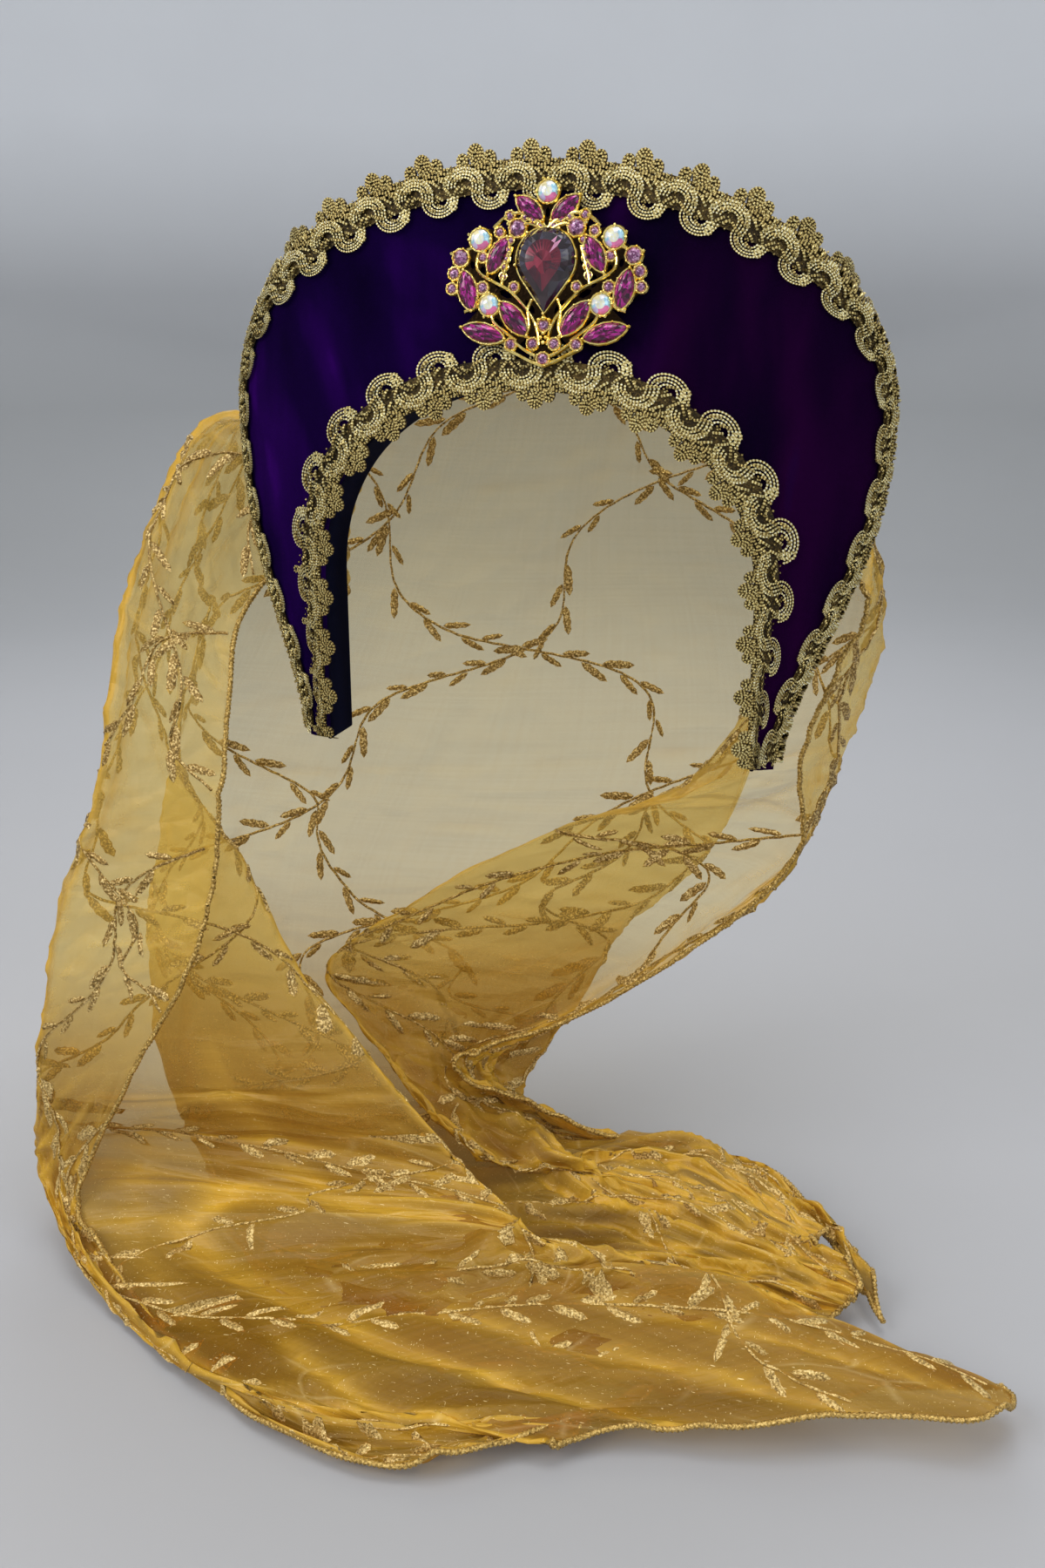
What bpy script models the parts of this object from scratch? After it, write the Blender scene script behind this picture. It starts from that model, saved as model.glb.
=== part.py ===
# French hood: a stiff velvet crescent on a velvet head band, edged inside and out with
# gold lace, a jewelled brooch pinned near its top and a gathered organza veil behind.
# Metres, +Z up, the hood faces -Y. The origin is the underside of the band at its crown,
# where the top of a head carries the hood.
import math

import bmesh
import bpy
from mathutils import Matrix, Vector

MM = 0.001

# Gap between pieces that touch, in millimetres as are all the sizes below
GAP = 0.35

# Head opening: a superellipse over two straight legs
HEAD_HALF_WIDTH = 79.5
HEAD_RISE = 70.0
HEAD_POWER = 2.2
END_Z = -129.0

# Head band, a shallow stiff horseshoe behind the crescent's inner edge
BAND_BACK_Y = 18.0
BAND_WALL = 2.0
BAND_LEG_OVERHANG = 1.5
BAND_SEAT = GAP + 0.1

# Crescent outline above its widest level, and the narrow ends by the ears
CRESCENT_HALF_WIDTH = 119.5
CRESCENT_RISE = 79.0
WIDEST_Z = -8.0
END_HALF_WIDTH = 88.5
TAPER_POWER = 1.3
CRESCENT_WALL = 3.0

# How the crescent's front face sweeps back at the sides and leans back at the top
FRONT_Y = -15.0
SWEEP = 33.0
SWEEP_AT_X = 120.0
SWEEP_POWER = 3.5
LEAN = 0.12
LEAN_SOFTNESS = 12.0

# Steps of the drawn outlines, and the distances over which the face and edges are read
OUTLINE_STEPS = 90
TAPER_STEPS = 40
SLOPE_STEP = 0.05
TANGENT_REACH = 4.0

# Lace trim: repeat length, reach onto the velvet and past the edge, and its relief
LACE_PITCH = 18.4
OUTER_LACE_FAN = 14.0
OUTER_LACE_LEAF = 6.0
INNER_LACE_FAN = 15.5
INNER_LACE_LEAF = 4.5
LACE_EDGE_THICK = 1.1
LACE_RIDGE_THICK = 2.1
LACE_RIDGE_AT = 0.2
LACE_FLAT_BEND = 0.35
LACE_BEND_EXTRA = 0.3
LACE_ROOM_SHARE = 0.41
LACE_SEAT = 0.5
LACE_BACK_GAP = 0.8
LACE_WRAP_RADIUS = (CRESCENT_WALL + LACE_SEAT + LACE_BACK_GAP) / 2
LACE_WRAP_MAX = math.radians(95)
LACE_SIDE_SHIFT = 7.0
LACE_END_MARGIN = 3.0
LACE_CLEAR_OF_END = 1.0
INNER_LACE_PHASE = 0.22

# The outer lace lies flat over the top of the arch and folds round its sides: where that
# starts and how far it takes to ease in, as shares of the edge's half length
SIDE_STARTS = 0.22
SIDE_EASES_OVER = 0.4

# One lace repeat: place along it, leaf depth past the edge, fan reach on the velvet.
# Folded round the crescent's sides the leaf is plain.
LACE_REPEAT = [
    # along, leaf, fan
    (0.00, 0.12, 0.70),
    (0.20, 0.72, 0.90),
    (0.36, 0.55, 0.99),
    (0.50, 1.00, 1.00),
    (0.64, 0.55, 0.99),
    (0.80, 0.72, 0.90),
]
LACE_REPEAT_FOLDED = [
    (0.00, 0.30, 0.70),
    (0.27, 0.85, 0.94),
    (0.50, 1.00, 1.00),
    (0.73, 0.85, 0.94),
]

# Brooch: its centre on the crescent, and its levels above the velvet
BROOCH_X = 7.5
BROOCH_Z = 37.0
BROOCH_BACK = LACE_SEAT + LACE_RIDGE_THICK + GAP
PLATE_THICK = 1.4
STONE_SEAT = 0.25
PLATE_RIM = 0.75
PRONG_RADIUS = 0.75
PRONG_CLEARANCE = 0.2
PRONG_LEAST_CLEAR = 0.18
PRONG_LEAST_CROWN = 1.35
PRONG_OUTWARD = 0.1
PRONG_RISE = 0.35
PRONG_SEGMENTS = 5
PRONG_RINGS = 4
POST_RADIUS = 1.1
POST_SIDES = 8
POST_X = 13.0
POST_Z = 2.5
POST_SUNK = 0.5

# Pear stone, point down
PEAR_CENTRE_Z = 3.6
PEAR_RADIUS = 9.9
PEAR_POINT_Z = -13.2
PEAR_SIDES = 16
PEAR_CROWN = 4.2

# Crown facets of a stone as rings: share of its outline, share of its crown height
PEAR_RINGS = [(0.82, 0.62), (0.52, 1.0)]
STONE_RINGS = [(0.55, 1.0)]
ROUND_SIDES = 8

# A marquise's outline, along its half length and across its half width
MARQUISE_BOW = [
    (-1.0, 0.0),
    (-0.62, 0.62),
    (0.0, 1.0),
    (0.62, 0.62),
    (1.0, 0.0),
    (0.62, -0.62),
    (0.0, -1.0),
    (-0.62, -0.62),
]
MARQUISE_FIRST_PRONG = 3

# Stones on both sides of the brooch: name, x and z from its centre, length, width,
# lean of the long axis on the left side in degrees, and crown height
MARQUISES = [
    ("crown", 6.0, 19.4, 11.0, 5.2, -39, 1.9),
    ("shoulder", 16.4, 5.0, 12.0, 5.4, 62, 2.0),
    ("side", 26.6, -6.0, 12.4, 6.0, -77, 2.1),
    ("petal", 10.4, -15.0, 13.4, 6.0, -49, 2.1),
    ("foot", 20.8, -19.6, 14.4, 5.8, -14, 2.1),
]

# Round stones: name, x and z from the brooch's centre, radius, crown height.
# A row at x = 0 is a single stone, the others are pairs.
CRYSTALS = [
    ("top", 0.0, 24.6, 3.3, 1.7),
    ("upper", 22.6, 10.0, 3.3, 1.7),
    ("lower", 19.0, -10.6, 3.2, 1.7),
]
AMETHYSTS = [
    ("heart", 9.9, 13.4, 2.6, 1.5),
    ("wing", 29.2, 4.4, 2.5, 1.4),
    ("wing_mid", 31.4, -0.6, 1.7, 1.1),
    ("wing_low", 32.1, -5.4, 1.5, 1.0),
    ("scroll", 21.4, -5.2, 1.6, 1.0),
    ("stem", 0.0, -17.0, 1.8, 1.1),
    ("rail_out", 11.2, -23.2, 1.6, 1.0),
    ("rail_in", 3.7, -23.0, 1.6, 1.0),
    ("tip", 0.0, -27.8, 1.8, 1.1),
    ("horn", 12.6, 17.2, 1.3, 0.9),
    ("heart_side", 16.0, 12.2, 1.3, 0.9),
    ("shoulder_dot", 21.6, 4.4, 1.3, 0.9),
    ("waist_dot", 10.6, -5.0, 1.3, 0.9),
]

# Open gaps between the brooch's gold wires: x and z from its centre, length, width and
# lean in degrees on the right side. A row at x = 0 is a single gap, the others are pairs.
BROOCH_GAPS = [
    (0.0, 18.2, 3.6, 1.4, 90),
    (11.9, 4.0, 6.0, 1.3, 95),
    (16.2, -3.4, 4.4, 2.6, 80),
    (21.6, 0.2, 3.2, 1.8, 90),
    (25.2, 2.2, 2.8, 1.6, 80),
    (13.5, -7.2, 4.8, 2.2, 28),
    (5.0, -11.2, 5.6, 2.0, 54),
    (15.9, -16.1, 4.4, 1.8, 38),
    (0.0, -22.0, 4.0, 1.7, 90),
]
GAP_SIDES = 6
SETTING_STEPS = 48
OUTLINE_MERGE = 0.045
OUTLINE_TOLERANCE = 0.01
EDGE_TOLERANCE = 0.001
MERGE_DISTANCE = 0.001

# Veil: a sheet gathered on the back of the band. The seam covers this much of the arch.
VEIL_WALL = 1.2
VEIL_SEAM_Y = 12.0
VEIL_TURN_Y = 30.0
VEIL_SEAM_SHARE = 0.73
VEIL_SEAM_EASE = 0.6
VEIL_TURN_EASE = 2.0
VEIL_STEPS_ACROSS = 3
VEIL_STEPS_DOWN = 2

# Where the sheet's lengthwise folds leave the seam, -1 at its left end to 1 at its right
VEIL_SEAM_AT = [-1.0, -0.75, -0.5, -0.25, 0.0, 0.3, 0.55, 0.8, 1.0]

# The sheet's lengthwise folds, a row for each level from the nape to the spread end.
# left hem, left turn, front ridge, tuck, back, right fold, upper fold, right turn, right hem
VEIL_LEVELS = [
    # nape
    [(-104, 34, -66), (-148, 50, -15), (-152, 70, -21), (-134, 96, -12), (-46, 128, -8),
     (56, 132, -12), (80, 108, -21), (104, 77, -38), (106, 42, -62)],
    # shoulder
    [(-121, 8, -88), (-162, 18, -54), (-163, 44, -70), (-150, 82, -60), (-62, 139, -64),
     (58, 141, -62), (79, 106, -59), (116, 70, -70), (115, 38, -74)],
    # ends of the crescent
    [(-118, -11, -114), (-165, -5, -90), (-168, 28, -112), (-163, 68, -106), (-76, 130, -120),
     (68, 139, -114), (72, 104, -114), (117, 70, -104), (105, 36, -102)],
    # below the band
    [(-115, -27, -144), (-171, -22, -149), (-157, 13, -152), (-176, 48, -156), (-91, 110, -174),
     (65, 127, -167), (46, 92, -162), (108, 73, -144), (95, 43, -134)],
    # upper waist
    [(-118, -33, -181), (-183, -31, -189), (-123, -1, -184), (-180, 32, -199), (-105, 87, -219),
     (41, 111, -213), (-6, 72, -184), (96, 75, -180), (92, 58, -183)],
    # waist
    [(-123, -43, -210), (-193, -39, -232), (-96, -10, -222), (-179, 17, -242), (-106, 66, -263),
     (15, 90, -235), (-68, 45, -215), (52, 74, -226), (45, 57, -234)],
    # lower waist
    [(-150, -51, -260), (-198, -44, -277), (-49, -24, -263), (-168, 4, -289), (-89, 50, -301),
     (-1, 77, -267), (-99, 26, -241), (8, 68, -262), (-7, 48, -268)],
    # just above the ground
    [(-177, -54, -327), (-200, -44, -318), (-10, -34, -295), (-141, -11, -320), (-81, 27, -324),
     (-22, 59, -311), (-74, 25, -280), (-34, 48, -293), (-45, 31, -282)],
    # landing
    [(-138, -82, -339), (-171, -70, -335), (25, -57, -303), (-75, -76, -333), (-31, -10, -330),
     (12, 23, -317), (-24, 13, -313), (0, 58, -323), (21, 47, -320)],
    # spread on the ground
    [(-7, -137, -339), (-65, -121, -333), (75, -50, -309), (8, -90, -335), (42, -14, -333),
     (66, 8, -323), (46, 38, -316), (77, 55, -323), (89, 53, -327)],
    # free end
    [(67, -81, -339), (40, -116, -336), (183, -47, -331), (109, -60, -338), (124, -16, -335),
     (131, -11, -330), (111, 15, -329), (121, 22, -334), (141, -14, -338)],
]

# Steps along the arch for the crescent and for the band, and across the crescent
ARCH_STEPS = 48
BAND_STEPS = 36
CRESCENT_STEPS_ACROSS = 5

# Edges sharper than this are shaded as edges, in degrees
SHARP_ANGLE = 50
VEIL_SHARP_ANGLE = 60


def clear_scene():
    for obj in list(bpy.data.objects):
        bpy.data.objects.remove(obj, do_unlink=True)


def make_collection(name):
    made = bpy.data.collections.new(name)
    bpy.context.scene.collection.children.link(made)
    return made


def make_material(name, colour, roughness, metallic=0.0):
    made = bpy.data.materials.new(name)
    made.use_nodes = True
    shader = made.node_tree.nodes["Principled BSDF"]
    shader.inputs["Base Color"].default_value = (*colour, 1.0)
    shader.inputs["Roughness"].default_value = roughness
    shader.inputs["Metallic"].default_value = metallic
    return made


def add_object(name, bm, material, collection):
    mesh = bpy.data.meshes.new(name)
    bm.to_mesh(mesh)
    bm.free()
    mesh.materials.append(material)
    obj = bpy.data.objects.new(name, mesh)
    collection.objects.link(obj)
    return obj


# Outlines in the front view

def superellipse(half_width, rise, centre_z, angle, power):
    across = abs(math.cos(angle)) ** (2 / power) * math.copysign(1, math.cos(angle))
    up = abs(math.sin(angle)) ** (2 / power) * math.copysign(1, math.sin(angle))
    return half_width * across, centre_z + rise * up


def half_arch(offset, overhang=0.0):
    # Right half of the head opening, crown to leg end, grown outwards by offset
    points = []
    half_width = HEAD_HALF_WIDTH + offset
    rise = HEAD_RISE + offset
    for step in range(OUTLINE_STEPS + 1):
        angle = math.pi / 2 * (1 - step / OUTLINE_STEPS)
        points.append(superellipse(half_width, rise, -HEAD_RISE, angle, HEAD_POWER))
    points.append((HEAD_HALF_WIDTH + offset, END_Z - overhang))
    return points


def half_rim():
    # Right half of the crescent's outer edge, top to ear end
    points = []
    for step in range(OUTLINE_STEPS + 1):
        angle = math.pi / 2 * (1 - step / OUTLINE_STEPS)
        points.append(superellipse(CRESCENT_HALF_WIDTH, CRESCENT_RISE, WIDEST_Z, angle, 2.0))
    for step in range(1, TAPER_STEPS + 1):
        part = step / TAPER_STEPS
        eased = part ** TAPER_POWER
        smooth = eased * eased * (3 - 2 * eased)
        x = CRESCENT_HALF_WIDTH + (END_HALF_WIDTH - CRESCENT_HALF_WIDTH) * smooth
        points.append((x, WIDEST_Z + (END_Z - WIDEST_Z) * part))
    return points


def both_sides(half):
    return [(-x, z) for x, z in reversed(half[1:])] + half


# The crescent's front face as a height field over the front view

def face_y(x, z):
    lean = 0.5 * (z + math.hypot(z, LEAN_SOFTNESS)) * LEAN
    return FRONT_Y + SWEEP * (abs(x) / SWEEP_AT_X) ** SWEEP_POWER + lean


def face_slopes(x, z):
    reach = SLOPE_STEP
    slope_x = (face_y(x + reach, z) - face_y(x - reach, z)) / (2 * reach)
    slope_z = (face_y(x, z + reach) - face_y(x, z - reach)) / (2 * reach)
    return slope_x, slope_z


def face_point(x, z):
    return Vector((x, face_y(x, z), z))


def face_normal(x, z):
    slope_x, slope_z = face_slopes(x, z)
    return Vector((slope_x, -1.0, slope_z)).normalized()


class Edge:
    # An outline on the face, read by length along it from its middle
    def __init__(self, outline):
        self.flat = outline
        solid = [face_point(x, z) for x, z in outline]
        self.lengths = [0.0]
        for one, two in zip(solid, solid[1:]):
            self.lengths.append(self.lengths[-1] + (two - one).length)
        self.half = self.lengths[-1] / 2

    def locate(self, along):
        wanted = min(max(along + self.half, 0.0), 2 * self.half)
        index = 1
        while index < len(self.lengths) - 1 and self.lengths[index] < wanted:
            index += 1
        before = self.lengths[index - 1]
        part = (wanted - before) / (self.lengths[index] - before)
        one, two = self.flat[index - 1], self.flat[index]
        point = (one[0] + (two[0] - one[0]) * part, one[1] + (two[1] - one[1]) * part)
        return point, (two[0] - one[0], two[1] - one[1])

    def smooth_tangent(self, along):
        back, _ = self.locate(along - TANGENT_REACH)
        ahead, _ = self.locate(along + TANGENT_REACH)
        return ahead[0] - back[0], ahead[1] - back[1]


def inner_edge():
    return Edge(both_sides(half_arch(BAND_WALL / 2)))


def outer_edge():
    return Edge(both_sides(half_rim()))


def square_heading(point, tangent, side):
    # The direction on the face at right angles to the edge, as a step in the front view
    slope_x, slope_z = face_slopes(*point)
    rise = slope_x * tangent[0] + slope_z * tangent[1]
    across = (-(tangent[1] + slope_z * rise), tangent[0] + slope_x * rise)
    length = Vector((across[0], slope_x * across[0] + slope_z * across[1], across[1])).length
    return side * across[0] / length, side * across[1] / length


def walk_face(point, heading, distance):
    x, z = point
    steps = max(1, int(abs(distance)) + 1)
    for _ in range(steps):
        slope_x, slope_z = face_slopes(x, z)
        length = Vector((heading[0], slope_x * heading[0] + slope_z * heading[1], heading[1])).length
        x += heading[0] * distance / steps / length
        z += heading[1] * distance / steps / length
    return x, z


def grid_sheet(rows):
    # An open sheet from rows of points in millimetres
    bm = bmesh.new()
    verts = [[bm.verts.new(Vector(p) * MM) for p in row] for row in rows]
    for low, high in zip(verts, verts[1:]):
        for k in range(len(low) - 1):
            bm.faces.new((low[k], low[k + 1], high[k + 1], high[k]))
    return bm


def add_wall(obj, thickness, offset, even):
    solidify = obj.modifiers.new("wall", "SOLIDIFY")
    solidify.thickness = thickness * MM
    solidify.offset = offset
    solidify.use_even_offset = even


def shade_round(obj, angle):
    obj.data.shade_smooth()
    obj.data.set_sharp_from_angle(angle=math.radians(angle))


# Crescent and band

def make_crescent(material, collection):
    inner = inner_edge()
    outer = outer_edge()
    columns = []
    for step in range(ARCH_STEPS + 1):
        part = 2 * step / ARCH_STEPS - 1
        low, _ = inner.locate(part * inner.half)
        high, _ = outer.locate(part * outer.half)
        column = []
        for across in range(CRESCENT_STEPS_ACROSS + 1):
            share = across / CRESCENT_STEPS_ACROSS
            x = low[0] + (high[0] - low[0]) * share
            z = low[1] + (high[1] - low[1]) * share
            column.append(face_point(x, z))
        columns.append(column)
    obj = add_object("crescent", grid_sheet(columns), material, collection)
    add_wall(obj, CRESCENT_WALL, 1.0, True)
    shade_round(obj, SHARP_ANGLE)


def make_band(material, collection):
    outline = Edge(both_sides(half_arch(0.0, BAND_LEG_OVERHANG)))
    rows = [[], []]
    for step in range(BAND_STEPS + 1):
        (x, z), _ = outline.locate((2 * step / BAND_STEPS - 1) * outline.half)
        # The front edge follows the crescent's back, seen at the band's outer side
        out_x = x * (1 + BAND_WALL / HEAD_HALF_WIDTH)
        slope_x, slope_z = face_slopes(out_x, z)
        back_of_crescent = face_y(out_x, z) + CRESCENT_WALL * math.hypot(1, slope_x, slope_z)
        front = back_of_crescent + BAND_SEAT
        for row, y in zip(rows, (front, BAND_BACK_Y)):
            row.append((x, y, z))
    obj = add_object("head_band", grid_sheet(rows), material, collection)
    add_wall(obj, BAND_WALL, 1.0, True)
    shade_round(obj, SHARP_ANGLE)


# Lace trims

def lace_columns(edge, wraps, phase):
    # Places along the edge where the lace outline has a corner, with its leaf and fan
    repeats = int((2 * edge.half - 2 * LACE_END_MARGIN) / LACE_PITCH)
    pitch = (2 * edge.half - 2 * LACE_END_MARGIN) / repeats
    start = -edge.half + LACE_END_MARGIN
    shift = phase * pitch
    columns = [(start, LACE_REPEAT[0][1], LACE_REPEAT[0][2])]
    for number in range(-1, repeats + 1):
        middle = start + (number + 0.5) * pitch + shift
        folded = wraps and side_share(edge, middle) > 0.5
        for along, leaf, fan in LACE_REPEAT_FOLDED if folded else LACE_REPEAT:
            place = start + (number + along) * pitch + shift
            if abs(place) < -start - LACE_CLEAR_OF_END:
                columns.append((place, leaf, fan))
    columns.append((-start, LACE_REPEAT[0][1], LACE_REPEAT[0][2]))
    return columns


def side_share(edge, along):
    # 0 over the top of the arch, easing to 1 down its sides
    part = min(max((abs(along) / edge.half - SIDE_STARTS) / SIDE_EASES_OVER, 0.0), 1.0)
    return part * part * (3 - 2 * part)


def lace_place(edge, side, wraps, along, across, lift):
    # A point of the lace: across is the distance onto the velvet, negative past the edge
    point, _ = edge.locate(along)
    heading = square_heading(point, edge.smooth_tangent(along), side)
    if across >= 0 or not wraps:
        x, z = walk_face(point, heading, across)
        return face_point(x, z) + face_normal(x, z) * lift
    slope_x, slope_z = face_slopes(*point)
    inward = Vector((heading[0], slope_x * heading[0] + slope_z * heading[1], heading[1]))
    outward = -inward.normalized()
    front = face_normal(*point)
    wrap = LACE_WRAP_MAX * side_share(edge, along)
    radius = LACE_WRAP_RADIUS
    turned = min(-across / radius, wrap)
    centre = face_point(*point) + front * (LACE_SEAT - radius)
    spoke = front * math.cos(turned) + outward * math.sin(turned)
    ahead = outward * math.cos(turned) - front * math.sin(turned)
    extra = max(0.0, -across - wrap * radius)
    return centre + spoke * (radius + lift - LACE_SEAT) + ahead * extra


def make_lace(name, edge, other, side, wraps, phase, fan_reach, leaf_reach, material, collection):
    # side: +1 or -1, the way from this edge onto the velvet
    bm = bmesh.new()
    top = []
    base = []
    far_side = [face_point(x, z) for x, z in other.flat]
    for along, leaf, fan in lace_columns(edge, wraps, phase):
        here, _ = edge.locate(along)
        room = min((p - face_point(*here)).length for p in far_side)
        shift = LACE_SIDE_SHIFT * side_share(edge, along) if wraps else 0.0
        reach = min(fan_reach - shift, LACE_ROOM_SHARE * room - GAP)
        low = -(leaf_reach * leaf + shift)
        high = reach * fan
        ridge = 0.0 if wraps else LACE_RIDGE_AT * reach
        spots = [(low, LACE_EDGE_THICK), (ridge, LACE_RIDGE_THICK), (high, LACE_EDGE_THICK)]
        if wraps:
            bend = LACE_WRAP_RADIUS * LACE_WRAP_MAX * side_share(edge, along)
            spots.insert(1, (-max(bend, -LACE_FLAT_BEND * low), LACE_EDGE_THICK + LACE_BEND_EXTRA))
        top.append([lace_place(edge, side, wraps, along, w, LACE_SEAT + thick) for w, thick in spots])
        base.append([lace_place(edge, side, wraps, along, w, LACE_SEAT) for w, thick in spots])
    upper = [[bm.verts.new(p * MM) for p in row] for row in top]
    lower = [[bm.verts.new(p * MM) for p in row] for row in base]
    count = len(upper)
    width = len(upper[0])
    for k in range(count - 1):
        for j in range(width - 1):
            bm.faces.new((upper[k][j], upper[k + 1][j], upper[k + 1][j + 1], upper[k][j + 1]))
            bm.faces.new((lower[k][j], lower[k][j + 1], lower[k + 1][j + 1], lower[k + 1][j]))
        bm.faces.new((upper[k][0], lower[k][0], lower[k + 1][0], upper[k + 1][0]))
        bm.faces.new((upper[k][-1], upper[k + 1][-1], lower[k + 1][-1], lower[k][-1]))
    for j in range(width - 1):
        bm.faces.new((upper[0][j], upper[0][j + 1], lower[0][j + 1], lower[0][j]))
        bm.faces.new((upper[-1][j], lower[-1][j], lower[-1][j + 1], upper[-1][j + 1]))
    bmesh.ops.recalc_face_normals(bm, faces=bm.faces)
    obj = add_object(name, bm, material, collection)
    shade_round(obj, SHARP_ANGLE)


def make_inner_trim(material, collection):
    make_lace("inner_trim", inner_edge(), outer_edge(), 1, False, INNER_LACE_PHASE,
              INNER_LACE_FAN, INNER_LACE_LEAF, material, collection)


def make_outer_trim(material, collection):
    make_lace("outer_trim", outer_edge(), inner_edge(), -1, True, 0.0,
              OUTER_LACE_FAN, OUTER_LACE_LEAF, material, collection)


# Brooch

def brooch_frame():
    # Matrix from the brooch's own millimetres (x across, y up, z off the velvet) to metres
    origin = face_point(BROOCH_X, BROOCH_Z)
    out = face_normal(BROOCH_X, BROOCH_Z)
    across = Vector((1, 0, 0))
    across = (across - out * across.dot(out)).normalized()
    up = out.cross(across)
    turn = Matrix((across, up, out)).transposed().to_4x4()
    return Matrix.Scale(MM, 4) @ Matrix.Translation(origin) @ turn


def round_outline(x, z, radius, sides):
    turn = math.pi / sides
    return [(x + radius * math.cos(2 * math.pi * k / sides + turn),
             z + radius * math.sin(2 * math.pi * k / sides + turn)) for k in range(sides)]


def marquise_outline(x, z, length, width, lean):
    # Two bows that meet in points
    cosine, sine = math.cos(math.radians(lean)), math.sin(math.radians(lean))
    points = []
    for along, across in MARQUISE_BOW:
        a, b = along * length / 2, across * width / 2
        points.append((x + a * cosine - b * sine, z + a * sine + b * cosine))
    return points[::-1]


def pear_outline(grow=0.0):
    # A round head that runs tangent into two straight sides meeting at the point
    reach = PEAR_CENTRE_Z - PEAR_POINT_Z
    tangent = math.asin(PEAR_RADIUS / reach)
    radius = PEAR_RADIUS + grow
    points = []
    last = PEAR_SIDES - 3
    for k in range(last + 1):
        angle = -tangent + (math.pi + 2 * tangent) * k / last
        points.append((radius * math.cos(angle), PEAR_CENTRE_Z + radius * math.sin(angle)))
    points.append((0.0, PEAR_POINT_Z - grow / math.sin(tangent)))
    return points


def grow_outline(points, amount):
    centre = Vector((sum(p[0] for p in points), sum(p[1] for p in points))) / len(points)
    grown = []
    for p in points:
        away = Vector(p) - centre
        grown.append(tuple(Vector(p) + away.normalized() * amount))
    return grown


def loft_rings(rings):
    # A closed solid through rings of (outline, level), bottom first
    bm = bmesh.new()
    loops = [[bm.verts.new((x, z, level)) for x, z in outline] for outline, level in rings]
    sides = len(loops[0])
    for low, high in zip(loops, loops[1:]):
        for k in range(sides):
            n = (k + 1) % sides
            bm.faces.new((low[k], low[n], high[n], high[k]))
    bm.faces.new(loops[0][::-1])
    bm.faces.new(loops[-1])
    bmesh.ops.recalc_face_normals(bm, faces=bm.faces)
    return bm


def shrink_outline(points, centre, share):
    return [(centre[0] + (x - centre[0]) * share, centre[1] + (z - centre[1]) * share) for x, z in points]


def make_stone(name, outline, centre, crown, rings, frame, material, collection):
    # A flat-backed stone: girdle, crown facets and a table
    seat = BROOCH_BACK + PLATE_THICK + STONE_SEAT
    levels = [(outline, seat)]
    for share, height in rings:
        levels.append((shrink_outline(outline, centre, share), seat + crown * height))
    bm = loft_rings(levels)
    bmesh.ops.transform(bm, matrix=frame, verts=bm.verts)
    add_object(name, bm, material, collection)


def stone_list():
    # Every stone as (name, outline, centre, crown height, crown rings, finish)
    pear_place = (0.0, PEAR_CENTRE_Z)
    stones = [("pear_stone", pear_outline(), pear_place, PEAR_CROWN, PEAR_RINGS, "garnet")]
    for row, x, z, length, width, lean, crown in MARQUISES:
        for side, word in ((-1, "left"), (1, "right")):
            name = f"marquise_{row}_{word}"
            outline = marquise_outline(side * x, z, length, width, -side * lean)
            stones.append((name, outline, (side * x, z), crown, STONE_RINGS, "fuchsia"))
    for kind, table in (("crystal", CRYSTALS), ("amethyst", AMETHYSTS)):
        for row, x, z, radius, crown in table:
            copies = ((0, ""),) if x == 0.0 else ((-1, "_left"), (1, "_right"))
            for side, ending in copies:
                name = f"{kind}_{row}{ending}"
                place = (side * x, z)
                outline = round_outline(*place, radius, ROUND_SIDES)
                stones.append((name, outline, place, crown, STONE_RINGS, kind))
    return stones


def cup_outline(stone):
    name, outline, centre, crown, rings, finish = stone
    if finish == "garnet":
        return pear_outline(PLATE_RIM)
    return grow_outline(outline, PLATE_RIM)


def distance_to_outline(point, outline):
    # Distance from a point to a stone's outline, negative inside it
    nearest = 1e9
    inside = False
    for k, one in enumerate(outline):
        two = outline[(k + 1) % len(outline)]
        a, b, p = Vector(one), Vector(two), Vector(point)
        share = min(max((p - a).dot(b - a) / (b - a).length_squared, 0.0), 1.0)
        nearest = min(nearest, (p - (a + (b - a) * share)).length)
        if (one[1] > p.y) != (two[1] > p.y):
            if p.x < (two[0] - one[0]) * (p.y - one[1]) / (two[1] - one[1]) + one[0]:
                inside = not inside
    return -nearest if inside else nearest


def prong_places(stones):
    # Ball prongs on the outward side of the larger stones, where there is room, in pairs
    places = []
    for name, outline, centre, crown, rings, finish in stones:
        if finish == "garnet" or crown < PRONG_LEAST_CROWN or centre[0] < 0:
            continue
        first, every = (MARQUISE_FIRST_PRONG, 4) if finish == "fuchsia" else (0, 2)
        for k in range(first, len(outline), every):
            corner = Vector(outline[k])
            away = (corner - Vector(centre)).normalized()
            if away.dot(Vector(centre).normalized()) < PRONG_OUTWARD:
                continue
            spot = corner + away * (PRONG_RADIUS + PRONG_CLEARANCE)
            clear = min(distance_to_outline(spot, other[1]) for other in stones)
            apart = min(((spot - Vector(p)).length for p in places), default=9.0)
            if clear >= PRONG_RADIUS + PRONG_LEAST_CLEAR and apart > 2 * PRONG_RADIUS:
                places.append((spot.x, spot.y))
                places.append((-spot.x, spot.y))
    return places


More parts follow.
